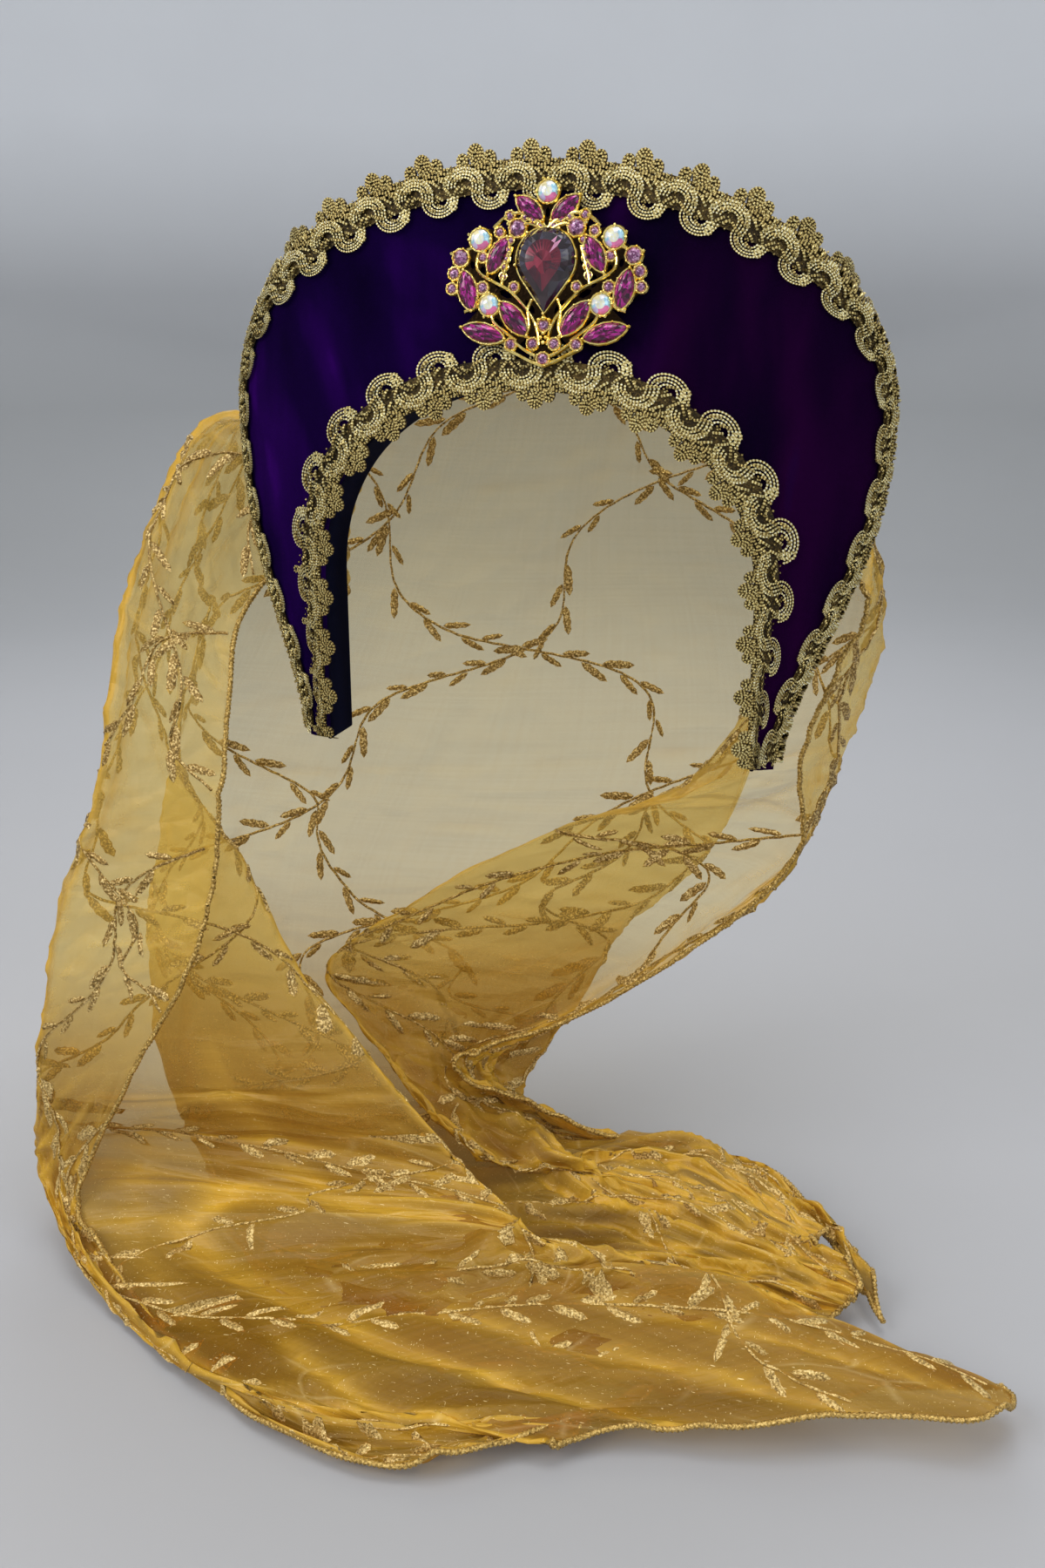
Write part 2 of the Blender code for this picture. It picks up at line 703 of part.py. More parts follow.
def farthest_edge(cups, angle):
    # Distance from the brooch's centre to the last cup edge in one direction
    ray = Vector((math.cos(angle), math.sin(angle)))
    reach = 0.0
    for cup in cups:
        for k, corner in enumerate(cup):
            start = Vector(corner)
            edge = Vector(cup[(k + 1) % len(cup)]) - start
            cross = ray.x * edge.y - ray.y * edge.x
            if cross == 0.0:
                continue
            distance = (start.x * edge.y - start.y * edge.x) / cross
            along_edge = (start.x * ray.y - start.y * ray.x) / cross
            if -EDGE_TOLERANCE <= along_edge <= 1 + EDGE_TOLERANCE:
                reach = max(reach, distance)
    return reach


def setting_outline(stones):
    # The plate's edge: every cup corner that stands out, and even steps between them
    cups = [cup_outline(stone) for stone in stones]
    angles = [2 * math.pi * step / SETTING_STEPS for step in range(SETTING_STEPS)]
    reaches = [farthest_edge(cups, angle) for angle in angles]
    spots = list(zip(angles, reaches, [False] * SETTING_STEPS))
    for cup in cups:
        for x, z in cup:
            angle = math.atan2(z, x) % (2 * math.pi)
            distance = math.hypot(x, z)
            if distance > farthest_edge(cups, angle) - OUTLINE_TOLERANCE:
                spots.append((angle, distance, True))
    spots.sort()
    points = []
    for angle, distance, corner in spots:
        near = [other for other in spots if other[2] and abs(other[0] - angle) < OUTLINE_MERGE]
        if corner or not near:
            points.append((distance * math.cos(angle), distance * math.sin(angle)))
    return points


def gap_outline(x, z, length, width, lean):
    points = []
    for k in range(GAP_SIDES):
        angle = 2 * math.pi * k / GAP_SIDES
        along, across = math.cos(angle) * length / 2, math.sin(angle) * width / 2
        turn = math.radians(lean)
        points.append((x + along * math.cos(turn) - across * math.sin(turn),
                       z + along * math.sin(turn) + across * math.cos(turn)))
    return points


def pierced_plate(name, outlines, low, high, collection):
    # A flat outline with gaps, as a filled curve made a closed mesh
    curve = bpy.data.curves.new(name, "CURVE")
    curve.dimensions = "2D"
    curve.fill_mode = "BOTH"
    curve.extrude = (high - low) / 2
    for outline in outlines:
        spline = curve.splines.new("POLY")
        spline.points.add(len(outline) - 1)
        spline.use_cyclic_u = True
        for point, (x, z) in zip(spline.points, outline):
            point.co = (x, z, 0.0, 1.0)
    drawn = bpy.data.objects.new(name, curve)
    collection.objects.link(drawn)
    depsgraph = bpy.context.evaluated_depsgraph_get()
    mesh = bpy.data.meshes.new_from_object(drawn.evaluated_get(depsgraph))
    bpy.data.objects.remove(drawn)
    bm = bmesh.new()
    bm.from_mesh(mesh)
    bmesh.ops.remove_doubles(bm, verts=bm.verts, dist=MERGE_DISTANCE)
    bmesh.ops.translate(bm, vec=(0, 0, (low + high) / 2), verts=bm.verts)
    return bm


def make_setting(stones, frame, material, collection, cutters):
    # A pierced plate of cups and wires, with ball prongs and two pin posts soldered on
    top_level = BROOCH_BACK + PLATE_THICK
    outlines = [setting_outline(stones)]
    for x, z, length, width, lean in BROOCH_GAPS:
        for side in (1, -1) if x else (1,):
            outlines.append(gap_outline(side * x, z, length, width, side * lean))
    bodies = [pierced_plate("brooch_setting", outlines, BROOCH_BACK, top_level, collection)]
    for x, z in prong_places(stones):
        bm = bmesh.new()
        bmesh.ops.create_uvsphere(bm, u_segments=PRONG_SEGMENTS, v_segments=PRONG_RINGS,
                                  radius=PRONG_RADIUS)
        bmesh.ops.translate(bm, vec=(x, z, top_level + PRONG_RISE), verts=bm.verts)
        bodies.append(bm)
    for side in (-1, 1):
        bm = bmesh.new()
        length = BROOCH_BACK - GAP + POST_SUNK
        bmesh.ops.create_cone(bm, cap_ends=True, segments=POST_SIDES, radius1=POST_RADIUS,
                              radius2=POST_RADIUS, depth=length)
        bmesh.ops.translate(bm, vec=(side * POST_X, POST_Z, GAP + length / 2), verts=bm.verts)
        bodies.append(bm)
    made = []
    for number, bm in enumerate(bodies):
        bmesh.ops.transform(bm, matrix=frame, verts=bm.verts)
        bmesh.ops.recalc_face_normals(bm, faces=bm.faces)
        name = f"brooch_fitting_{number}" if number else "brooch_setting"
        made.append(add_object(name, bm, material, cutters if number else collection))
    for obj in made[1:]:
        obj.hide_render = True
        obj.display_type = "WIRE"
    join = made[0].modifiers.new("solder", "BOOLEAN")
    join.operation = "UNION"
    join.operand_type = "COLLECTION"
    join.collection = cutters
    join.solver = "EXACT"


# Veil

def slope_at(before, here, after, span):
    # Tangent at a point for a step of the given length, weighted by the distances around it
    near = (here - before).length
    far = (after - here).length
    back = (here - before) / near
    ahead = (after - here) / far
    return (back * far + ahead * near) / (near + far) * span


def ease_through(points, place):
    # A smooth curve through the points, read at a real-valued index
    last = len(points) - 1
    index = min(int(place), last - 1)
    part = place - index
    one, two = points[index], points[index + 1]
    span = (two - one).length
    before = points[index - 1] if index > 0 else one * 2 - two
    after = points[index + 2] if index < last - 1 else two * 2 - one
    slope_one = slope_at(before, one, two, span)
    slope_two = slope_at(one, two, after, span)
    return (one * (2 * part ** 3 - 3 * part ** 2 + 1) + slope_one * (part ** 3 - 2 * part ** 2 + part)
            + two * (3 * part ** 2 - 2 * part ** 3) + slope_two * (part ** 3 - part ** 2))


def seam_row(places, y, offset):
    # Points of a row round the outside of the band, at shares of its half length
    outline = Edge(both_sides(half_arch(BAND_WALL + GAP + VEIL_WALL / 2 + offset)))
    row = []
    for place in places:
        (x, z), _ = outline.locate(place * VEIL_SEAM_SHARE * outline.half)
        row.append(Vector((x, y, z)))
    return row


def make_veil(material, collection):
    across_count = (len(VEIL_SEAM_AT) - 1) * VEIL_STEPS_ACROSS
    places = []
    for step in range(across_count + 1):
        fold, part = divmod(step / VEIL_STEPS_ACROSS, 1)
        one = VEIL_SEAM_AT[int(fold)]
        two = VEIL_SEAM_AT[min(int(fold) + 1, len(VEIL_SEAM_AT) - 1)]
        places.append(one + (two - one) * part)
    seam = seam_row(places, VEIL_SEAM_Y, VEIL_SEAM_EASE)
    turn = seam_row(places, VEIL_TURN_Y, VEIL_TURN_EASE)
    columns = []
    for step in range(across_count + 1):
        fold = step / VEIL_STEPS_ACROSS
        path = [seam[step], turn[step]]
        path += [ease_through([Vector(p) for p in level], fold) for level in VEIL_LEVELS]
        down_count = (len(path) - 1) * VEIL_STEPS_DOWN
        columns.append([ease_through(path, down / VEIL_STEPS_DOWN) for down in range(down_count + 1)])
    obj = add_object("veil", grid_sheet(columns), material, collection)
    add_wall(obj, VEIL_WALL, 0.0, False)
    shade_round(obj, VEIL_SHARP_ANGLE)


def main():
    clear_scene()
    hood = make_collection("french_hood")
    cutters = make_collection("brooch_fittings")
    velvet = make_material("purple_velvet", (0.045, 0.006, 0.12), 0.75)
    dark_velvet = make_material("dark_velvet", (0.008, 0.01, 0.035), 0.8)
    lace = make_material("gold_lace", (0.42, 0.32, 0.13), 0.45, 0.8)
    gold = make_material("yellow_gold", (0.85, 0.55, 0.12), 0.22, 1.0)
    organza = make_material("gold_organza", (0.66, 0.46, 0.12), 0.5)
    finishes = {
        "garnet": make_material("garnet_glass", (0.16, 0.01, 0.03), 0.08),
        "fuchsia": make_material("fuchsia_glass", (0.35, 0.01, 0.18), 0.08),
        "crystal": make_material("clear_crystal", (0.8, 0.82, 0.86), 0.05),
        "amethyst": make_material("amethyst_glass", (0.45, 0.2, 0.4), 0.08),
    }
    make_crescent(velvet, hood)
    make_band(dark_velvet, hood)
    make_inner_trim(lace, hood)
    make_outer_trim(lace, hood)
    frame = brooch_frame()
    stones = stone_list()
    for name, outline, centre, crown, rings, finish in stones:
        make_stone(name, outline, centre, crown, rings, frame, finishes[finish], hood)
    make_setting(stones, frame, gold, hood, cutters)
    make_veil(organza, hood)


main()
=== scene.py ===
import math

import bpy
import numpy as np
from mathutils import Matrix, Vector


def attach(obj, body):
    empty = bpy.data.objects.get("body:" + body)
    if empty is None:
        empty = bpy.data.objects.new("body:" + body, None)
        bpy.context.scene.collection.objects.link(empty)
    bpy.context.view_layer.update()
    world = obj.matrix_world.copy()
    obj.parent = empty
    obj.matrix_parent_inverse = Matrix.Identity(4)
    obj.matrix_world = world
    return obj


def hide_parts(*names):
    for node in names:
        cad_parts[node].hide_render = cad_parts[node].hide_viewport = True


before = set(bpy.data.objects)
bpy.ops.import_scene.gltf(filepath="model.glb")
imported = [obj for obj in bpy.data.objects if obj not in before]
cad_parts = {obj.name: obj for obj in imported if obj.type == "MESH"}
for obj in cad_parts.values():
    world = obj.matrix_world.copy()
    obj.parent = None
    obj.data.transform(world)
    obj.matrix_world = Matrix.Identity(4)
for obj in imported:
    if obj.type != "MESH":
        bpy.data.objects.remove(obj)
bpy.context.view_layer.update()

mm = 0.001  # sizes are in millimetres until a mesh is written
bothWays = ((-1, "left"), (1, "right"))

# small helpers


def deselectAll():
    bpy.ops.object.select_all(action="DESELECT")


def makeActive(piece):
    deselectAll()
    piece.select_set(True)
    bpy.context.view_layer.objects.active = piece


def applyModifier(piece, name):
    makeActive(piece)
    bpy.ops.object.modifier_apply(modifier=name)


def editAll(piece, operator, **settings):
    # one edit mode operator on the whole piece
    makeActive(piece)
    bpy.ops.object.mode_set(mode="EDIT")
    bpy.ops.mesh.select_all(action="SELECT")
    operator(**settings)
    bpy.ops.object.mode_set(mode="OBJECT")
    deselectAll()


def finishPiece(piece, material, slotName, replaced=(), angle=40):
    # dress a piece: one material, smooth shading and its body
    piece.data.materials.clear()
    piece.data.materials.append(material)
    if angle is not None:
        makeActive(piece)
        bpy.ops.object.shade_smooth_by_angle(angle=math.radians(angle))
    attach(piece, "root")
    if replaced:
        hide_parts(*replaced)
    deselectAll()


def meshPiece(name, points, faces, outwards=False):
    mesh = bpy.data.meshes.new(name)
    mesh.from_pydata((np.asarray(points) * mm).tolist(), [], faces)
    mesh.validate()
    piece = bpy.data.objects.new(name, mesh)
    bpy.context.scene.collection.objects.link(piece)
    if outwards:
        editAll(piece, bpy.ops.mesh.normals_make_consistent, inside=False)
    return piece


def gridPiece(name, across, down, placer):
    # a primitive grid whose points are carried to a surface; its own UV map stays with it
    deselectAll()
    bpy.ops.mesh.primitive_grid_add(x_subdivisions=across, y_subdivisions=down, size=2, calc_uvs=True)
    piece = bpy.context.object
    piece.name = name
    piece.data.name = name
    flat = np.empty(len(piece.data.vertices) * 3)
    piece.data.vertices.foreach_get("co", flat)
    flat = flat.reshape(-1, 3)
    solid = placer((flat[:, 0] + 1) / 2, (flat[:, 1] + 1) / 2)
    piece.data.vertices.foreach_set("co", (solid * mm).ravel())
    piece.data.update()
    return piece


def turnFacesTo(piece, direction):
    # the middle face tells which way the sheet looks
    middle = piece.data.polygons[len(piece.data.polygons) // 2]
    if middle.normal.dot(Vector(direction)) < 0:
        editAll(piece, bpy.ops.mesh.flip_normals)


def unit(vectors):
    return vectors / (np.linalg.norm(vectors, axis=-1, keepdims=True) + 1e-9)


def pathLengths(path):
    return np.concatenate([[0.0], np.cumsum(np.linalg.norm(np.diff(path, axis=0), axis=1))])


def atPlaces(path, lengths, places):
    return np.stack([np.interp(places, lengths, path[:, k]) for k in range(path.shape[1])], -1)


def tubePoints(line, side, up, girths, start=0.0):
    # rings round a line, with one row of girths for each side of the tube
    rings = []
    for k, girth in enumerate(girths):
        angle = start + 2 * math.pi * k / len(girths)
        sideways, upwards = girth * math.cos(angle), girth * math.sin(angle)
        rings.append(line + side * sideways[:, None] + up * upwards[:, None])
    return np.stack(rings, 1).reshape(-1, 3)


def tubeFaces(count, sides, closed=False):
    faces = []
    for n in range(count if closed else count - 1):
        a, b = n * sides, (n + 1) % count * sides
        for k in range(sides):
            j = (k + 1) % sides
            faces.append((a + k, a + j, b + j, b + k))
    if not closed:
        faces += [tuple(range(sides))[::-1], tuple(range((count - 1) * sides, count * sides))]
    return faces


def joinParts(parts):
    # parts begin with their points and faces
    faces, offset = [], 0
    for part in parts:
        faces += [tuple(k + offset for k in face) for face in part[1]]
        offset += len(part[0])
    return np.concatenate([np.asarray(part[0], dtype=float) for part in parts]), faces


def hash01(number, salt=0.0):
    value = np.sin(np.asarray(number, dtype=float) * 12.9898 + salt * 78.233) * 43758.5453
    return value - np.floor(value)


def valueNoise(x, y, salt):
    # smooth noise from -1 to 1 over a plane of unit cells
    xi, yi = np.floor(x), np.floor(y)
    xf, yf = x - xi, y - yi
    xf = xf * xf * (3 - 2 * xf)
    yf = yf * yf * (3 - 2 * yf)

    def corner(a, b):
        return hash01(a * 57.0 + b * 131.7, salt) * 2 - 1

    low = corner(xi, yi) * (1 - xf) + corner(xi + 1, yi) * xf
    high = corner(xi, yi + 1) * (1 - xf) + corner(xi + 1, yi + 1) * xf
    return low * (1 - yf) + high * yf


def ridges(x, y, salt, power):
    # narrow crests from 0 to 1
    return np.maximum(1 - 2 * np.abs(valueNoise(x, y, salt)), 0) ** power


# materials: a recipe adds nodes and gives back the socket with the result


def greys(*stops):
    return [(place, (level, level, level)) for place, level in stops]


class Recipe:
    def __init__(self, name):
        self.material = bpy.data.materials.new(name)
        self.material.use_nodes = True
        self.nodes = self.material.node_tree.nodes
        self.links = self.material.node_tree.links
        self.shader = self.nodes["Principled BSDF"]

    def add(self, kind, **settings):
        node = self.nodes.new("ShaderNode" + kind)
        for name, value in settings.items():
            setattr(node, name, value)
        return node

    def feed(self, node, values):
        # values by socket: a link, a number, a vector or a colour without its alpha
        for name, value in values.items():
            socket = node.inputs[name]
            if isinstance(value, bpy.types.NodeSocket):
                self.links.new(value, socket)
            elif isinstance(value, tuple) and len(socket.default_value) == len(value) + 1:
                socket.default_value = (*value, 1)
            else:
                socket.default_value = value
        return node

    def space(self):
        return self.add("TexCoord").outputs["Object"]

    def flatCloth(self):
        return self.add("UVMap", uv_map="UVMap").outputs["UV"]

    def attribute(self, name, output="Fac"):
        return self.add("Attribute", attribute_name=name).outputs[output]

    def axis(self, where, name):
        return self.feed(self.add("SeparateXYZ"), {"Vector": where}).outputs[name]

    def vector(self, operation, *values):
        node = self.add("VectorMath", operation=operation)
        return self.feed(node, dict(enumerate(values)))

    def math(self, operation, *values, clamp=False):
        node = self.add("Math", operation=operation, use_clamp=clamp)
        return self.feed(node, dict(enumerate(values))).outputs["Value"]

    def span(self, value, low, high, start=0.0, end=1.0):
        sockets = {"Value": value, "From Min": low, "From Max": high, "To Min": start, "To Max": end}
        return self.feed(self.add("MapRange"), sockets).outputs["Result"]

    def noise(self, where, scale, detail, stretch=(1, 1, 1), turn=(0, 0, 0), flat=False, distortion=0.0,
              output="Fac"):
        # flat is for a pattern on a UV map, which costs less than one in space
        mapping = self.feed(self.add("Mapping"), {"Vector": where, "Scale": stretch, "Rotation": turn})
        noise = self.add("TexNoise", noise_dimensions="2D" if flat else "3D")
        sockets = {"Vector": mapping.outputs["Vector"], "Scale": scale, "Detail": detail,
                   "Distortion": distortion}
        return self.feed(noise, sockets).outputs[output]

    def ramp(self, value, stops):
        node = self.add("ValToRGB")
        elements = node.color_ramp.elements
        while len(elements) > 1:
            elements.remove(elements[-1])
        elements[0].position, elements[0].color = stops[0][0], (*stops[0][1], 1)
        for position, colour in stops[1:]:
            elements.new(position).color = (*colour, 1)
        return self.feed(node, {"Fac": value}).outputs["Color"]

    def mix(self, factor, first, second, blend="MIX"):
        node = self.add("Mix", data_type="RGBA", blend_type=blend)
        return self.feed(node, {"Factor": factor, "A": first, "B": second}).outputs["Result"]

    def surface(self, values):
        self.feed(self.shader, values)

    def bump(self, heights, strength, distance):
        # chain bumps, the coarse one first
        last = None
        for height, share in heights:
            sockets = {"Strength": strength * share, "Distance": distance, "Height": height}
            if last:
                sockets["Normal"] = last
            last = self.feed(self.add("Bump"), sockets).outputs["Normal"]
        self.surface({"Normal": last})


# camera, light and backdrop

view = {
    "camera": (139.7, -503.5, 17.0),
    "towards": (-0.2636, 0.9193, -0.2924),
    "fieldOfView": 56.36,
    "floorLevel": -343.0,
}

cameraData = bpy.data.cameras.new("camera")
camera = bpy.data.objects.new("camera", cameraData)
bpy.context.scene.collection.objects.link(camera)
camera.location = Vector(view["camera"]) * mm
camera.rotation_euler = Vector(view["towards"]).to_track_quat("-Z", "Y").to_euler()
cameraData.sensor_fit = "VERTICAL"
cameraData.angle = math.radians(view["fieldOfView"])
cameraData.clip_start = 0.01
bpy.context.scene.camera = camera
bpy.context.scene.view_settings.view_transform = "Standard"

studio = {
    # the paper's colour by its distance from the hood, in metres: floor, bend and wall; darkest just round
    # the hood as a painted shadow, falling off over the floor and the bend, and much lighter up the wall, as
    # painted light
    "paper": [(0.34, (0.40, 0.402, 0.415)), (0.48, (0.45, 0.452, 0.465)), (1.0, (0.42, 0.425, 0.438)),
              (1.5, (0.36, 0.367, 0.376)), (1.8, (0.325, 0.332, 0.338)), (2.22, (0.305, 0.314, 0.32)),
              (2.43, (0.40, 0.41, 0.425)), (2.65, (0.71, 0.73, 0.76)), (2.85, (0.80, 0.82, 0.85)),
              (3.5, (0.83, 0.85, 0.88))],
    "worldColour": (0.80, 0.83, 0.88),
    "worldStrength": 0.50,
    "floorRadius": 1500, "bend": 1200, "wallTop": 2500, "spokes": 96, "bendSteps": 14,
    "lights": [
        # name, place, size, energy, colour
        ("window", (-1300, -1500, 1300), 1500, 27, (1.0, 0.985, 0.96)),
        ("fill", (1700, -900, 700), 1400, 8.5, (0.93, 0.96, 1.0)),
        ("top", (100, 100, 1900), 1500, 18, (1.0, 1.0, 1.0)),
        ("sparkle", (350, -1300, 500), 240, 2.6, (1.0, 0.97, 0.92)),
        ("back", (-500, 1700, 900), 1500, 8, (0.98, 0.98, 1.0)),
    ],
}


def makeStage():
    # a round bowl of paper: rings as radius and height
    flat, bend, spokes = studio["floorRadius"], studio["bend"], studio["spokes"]
    profile = [(flat * share, 0) for share in (0.25, 0.5, 0.75, 1.0)]
    for step in range(1, studio["bendSteps"] + 1):
        angle = math.pi / 2 * step / studio["bendSteps"]
        profile.append((flat + bend * math.sin(angle), bend * (1 - math.cos(angle))))
    profile.append((flat + bend, studio["wallTop"]))
    points, faces = [(0, 0, view["floorLevel"])], []
    for radius, z in profile:
        for k in range(spokes):
            angle = 2 * math.pi * k / spokes
            points.append((radius * math.cos(angle), radius * math.sin(angle), z + view["floorLevel"]))
    for k in range(spokes):
        n = (k + 1) % spokes
        faces.append((0, 1 + k, 1 + n))
        for ring in range(len(profile) - 1):
            low = 1 + ring * spokes
            faces.append((low + k, low + spokes + k, low + spokes + n, low + n))
    sweep = meshPiece("studioSweep", points, faces)
    recipe = Recipe("studioPaperPaintedShade")
    where = recipe.space()
    near, far = studio["paper"][0][0], studio["paper"][-1][0]
    share = recipe.span(recipe.vector("LENGTH", where).outputs["Value"], near, far)
    # the ramp paints the backdrop's shadow and light falloff; only the mottle is the paper's own
    paper = recipe.ramp(share, [((place - near) / (far - near), colour) for place, colour in studio["paper"]])
    mottle = recipe.ramp(recipe.noise(where, 3.0, 5.0), greys((0.3, 0.97), (0.7, 1.0)))
    recipe.surface({"Base Color": recipe.mix(1.0, paper, mottle, "MULTIPLY"), "Roughness": 0.75})
    sweep.data.materials.append(recipe.material)
    for polygon in sweep.data.polygons:
        polygon.use_smooth = True


def makeLights():
    world = bpy.data.worlds.new("softRoom")
    world.use_nodes = True
    background = world.node_tree.nodes["Background"]
    background.inputs["Color"].default_value = (*studio["worldColour"], 1)
    background.inputs["Strength"].default_value = studio["worldStrength"]
    bpy.context.scene.world = world
    for name, place, size, energy, colour in studio["lights"]:
        data = bpy.data.lights.new(name, "AREA")
        data.size = size * mm
        data.energy = energy
        data.color = colour
        lamp = bpy.data.objects.new(name, data)
        bpy.context.scene.collection.objects.link(lamp)
        lamp.location = Vector(place) * mm
        aim = Vector((0, 0, -100)) * mm - lamp.location
        lamp.rotation_euler = aim.to_track_quat("-Z", "Y").to_euler()


makeStage()
makeLights()
print("stage, lights and camera")


# the hood's shape, as in the part

hood = {
    "headHalfWidth": 79.5, "headRise": 70.0, "headPower": 2.2, "endLevel": -129.0,
    "bandBack": 18.0, "bandWall": 2.0, "bandOverhang": 1.5, "bandSeat": 0.45,
    "halfWidth": 119.5, "rise": 79.0, "widestLevel": -8.0, "endHalfWidth": 88.5, "taperPower": 1.3,
    "wall": 3.0, "frontY": -15.0, "sweep": 33.0, "sweepAt": 120.0, "sweepPower": 3.5,
    "lean": 0.12, "leanSoftness": 12.0,
}


def superellipse(halfWidth, rise, centre, angle, power):
    across = abs(math.cos(angle)) ** (2 / power) * math.copysign(1, math.cos(angle))
    up = abs(math.sin(angle)) ** (2 / power) * math.copysign(1, math.sin(angle))
    return halfWidth * across, centre + rise * up


def halfArch(offset, overhang=0.0):
    points = []
    for step in range(91):
        angle = math.radians(90 - step)
        points.append(superellipse(hood["headHalfWidth"] + offset, hood["headRise"] + offset,
                                   -hood["headRise"], angle, hood["headPower"]))
    points.append((hood["headHalfWidth"] + offset, hood["endLevel"] - overhang))
    return points


def halfRim():
    points = []
    for step in range(91):
        angle = math.radians(90 - step)
        points.append(superellipse(hood["halfWidth"], hood["rise"], hood["widestLevel"], angle, 2.0))
    for step in range(1, 41):
        part = step / 40
        eased = part ** hood["taperPower"]
        smooth = eased * eased * (3 - 2 * eased)
        x = hood["halfWidth"] + (hood["endHalfWidth"] - hood["halfWidth"]) * smooth
        points.append((x, hood["widestLevel"] + (hood["endLevel"] - hood["widestLevel"]) * part))
    return points


def bothSides(half):
    return [(-x, z) for x, z in reversed(half[1:])] + half


def faceY(x, z):
    lean = 0.5 * (z + np.hypot(z, hood["leanSoftness"])) * hood["lean"]
    return hood["frontY"] + hood["sweep"] * (np.abs(x) / hood["sweepAt"]) ** hood["sweepPower"] + lean


def facePoint(x, z):
    return np.stack([x, faceY(x, z), z], -1)


def faceSlopes(x, z):
    step = 0.05
    return ((faceY(x + step, z) - faceY(x - step, z)) / (2 * step),
            (faceY(x, z + step) - faceY(x, z - step)) / (2 * step))


def faceNormal(x, z):
    slopeX, slopeZ = faceSlopes(x, z)
    return unit(np.stack([slopeX, -np.ones_like(slopeX), slopeZ], -1))


class Edge:
    # an outline on the face, read by its length from the middle
    def __init__(self, outline):
        self.flat = np.array(outline, dtype=float)
        self.lengths = pathLengths(facePoint(self.flat[:, 0], self.flat[:, 1]))
        self.half = self.lengths[-1] / 2

    def locate(self, along):
        return atPlaces(self.flat, self.lengths, np.clip(np.asarray(along) + self.half, 0, 2 * self.half))

    def heading(self, along, side):
        # the way across the edge, flat and in space
        tangent = self.locate(np.asarray(along) + 4.0) - self.locate(np.asarray(along) - 4.0)
        spot = self.locate(along)
        slopeX, slopeZ = faceSlopes(spot[..., 0], spot[..., 1])
        rise = slopeX * tangent[..., 0] + slopeZ * tangent[..., 1]
        across = np.stack([-(tangent[..., 1] + slopeZ * rise), tangent[..., 0] + slopeX * rise], -1)
        x, z = across[..., 0], across[..., 1]
        solid = np.stack([x, slopeX * x + slopeZ * z, z], -1)
        length = np.linalg.norm(solid, axis=-1)[..., None]
        return side * across / length, side * solid / length


innerEdge = Edge(bothSides(halfArch(hood["bandWall"] / 2)))
outerEdge = Edge(bothSides(halfRim()))


# velvet

velvet = {
    # the left stops are lighter and bluer with bright streak highlights, the right ones darker: painted light
    # from the left over the crushed pile
    "leftStops": [(0.36, (0.0030, 0.0004, 0.014)), (0.52, (0.0058, 0.0005, 0.028)),
                  (0.63, (0.014, 0.0006, 0.058)), (0.76, (0.050, 0.002, 0.17))],
    "rightStops": [(0.36, (0.0012, 0.0010, 0.007)), (0.54, (0.0058, 0.0004, 0.013)),
                   (0.70, (0.014, 0.0006, 0.022)), (0.84, (0.008, 0.002, 0.040))],
    "changesFrom": -0.02, "changesTo": 0.05,
    "sheen": 0.035, "sheenTint": (0.32, 0.02, 0.95), "puff": 0.35, "creases": 0.22,
    "crushScale": 15.0, "fineScale": 70.0, "pileScale": 2600.0,
    "columns": 220, "rows": 22, "rim": 0.9, "rimSegments": 3,
}
band = {
    "stops": [(0.40, (0.0015, 0.0015, 0.006)), (0.75, (0.004, 0.005, 0.020))],
    "sheen": 0.05, "sheenTint": (0.3, 0.35, 0.8), "ease": 0.35, "thinner": 0.5,
    "columns": 180, "rows": 12, "rim": 0.5, "rimSegments": 2,
}


def velvetMaterial(name, leftStops, rightStops, sheen, tint):
    # crushed pile, whose colour changes from the left half to the right one: the left half is painted lighter
    # and bluer with highlight streaks and the right half darker, as painted light from the left
    recipe = Recipe(name)
    where = recipe.space()
    crush = recipe.noise(where, velvet["crushScale"], 3.0, (1.0, 1.0, 0.36), (0, 0.35, 0), distortion=1.3)
    fine = recipe.noise(where, velvet["fineScale"], 4.0, (1.0, 1.0, 0.30), (0, -0.25, 0))
    level = recipe.math("SUBTRACT", recipe.math("MULTIPLY_ADD", fine, 0.20, crush), 0.08)
    across = recipe.span(recipe.axis(where, "X"), velvet["changesFrom"], velvet["changesTo"])
    colour = recipe.mix(across, recipe.ramp(level, leftStops), recipe.ramp(level, rightStops))
    recipe.surface({"Base Color": colour, "Roughness": 0.85, "Specular IOR Level": 0.012,
                    "Sheen Weight": sheen, "Sheen Roughness": 0.30, "Sheen Tint": tint})
    recipe.bump([(crush, 1.0), (recipe.noise(where, velvet["pileScale"], 2.0), 0.35)], 0.5, 0.0012)
    return recipe.material


def shellFrom(name, style, surface, direction, thickness, offset, even):
    # a sheet that is turned, given a wall and rounded at its rims
    piece = gridPiece(name, style["columns"], style["rows"], surface)
    turnFacesTo(piece, direction)
    wall = piece.modifiers.new("wall", "SOLIDIFY")
    wall.thickness = thickness * mm
    wall.offset = offset
    wall.use_even_offset = even
    applyModifier(piece, "wall")
    bevel = piece.modifiers.new("rim", "BEVEL")
    bevel.width = style["rim"] * mm
    bevel.segments = style["rimSegments"]
    bevel.limit_method = "ANGLE"
    bevel.angle_limit = math.radians(60)
    applyModifier(piece, "rim")
    return piece


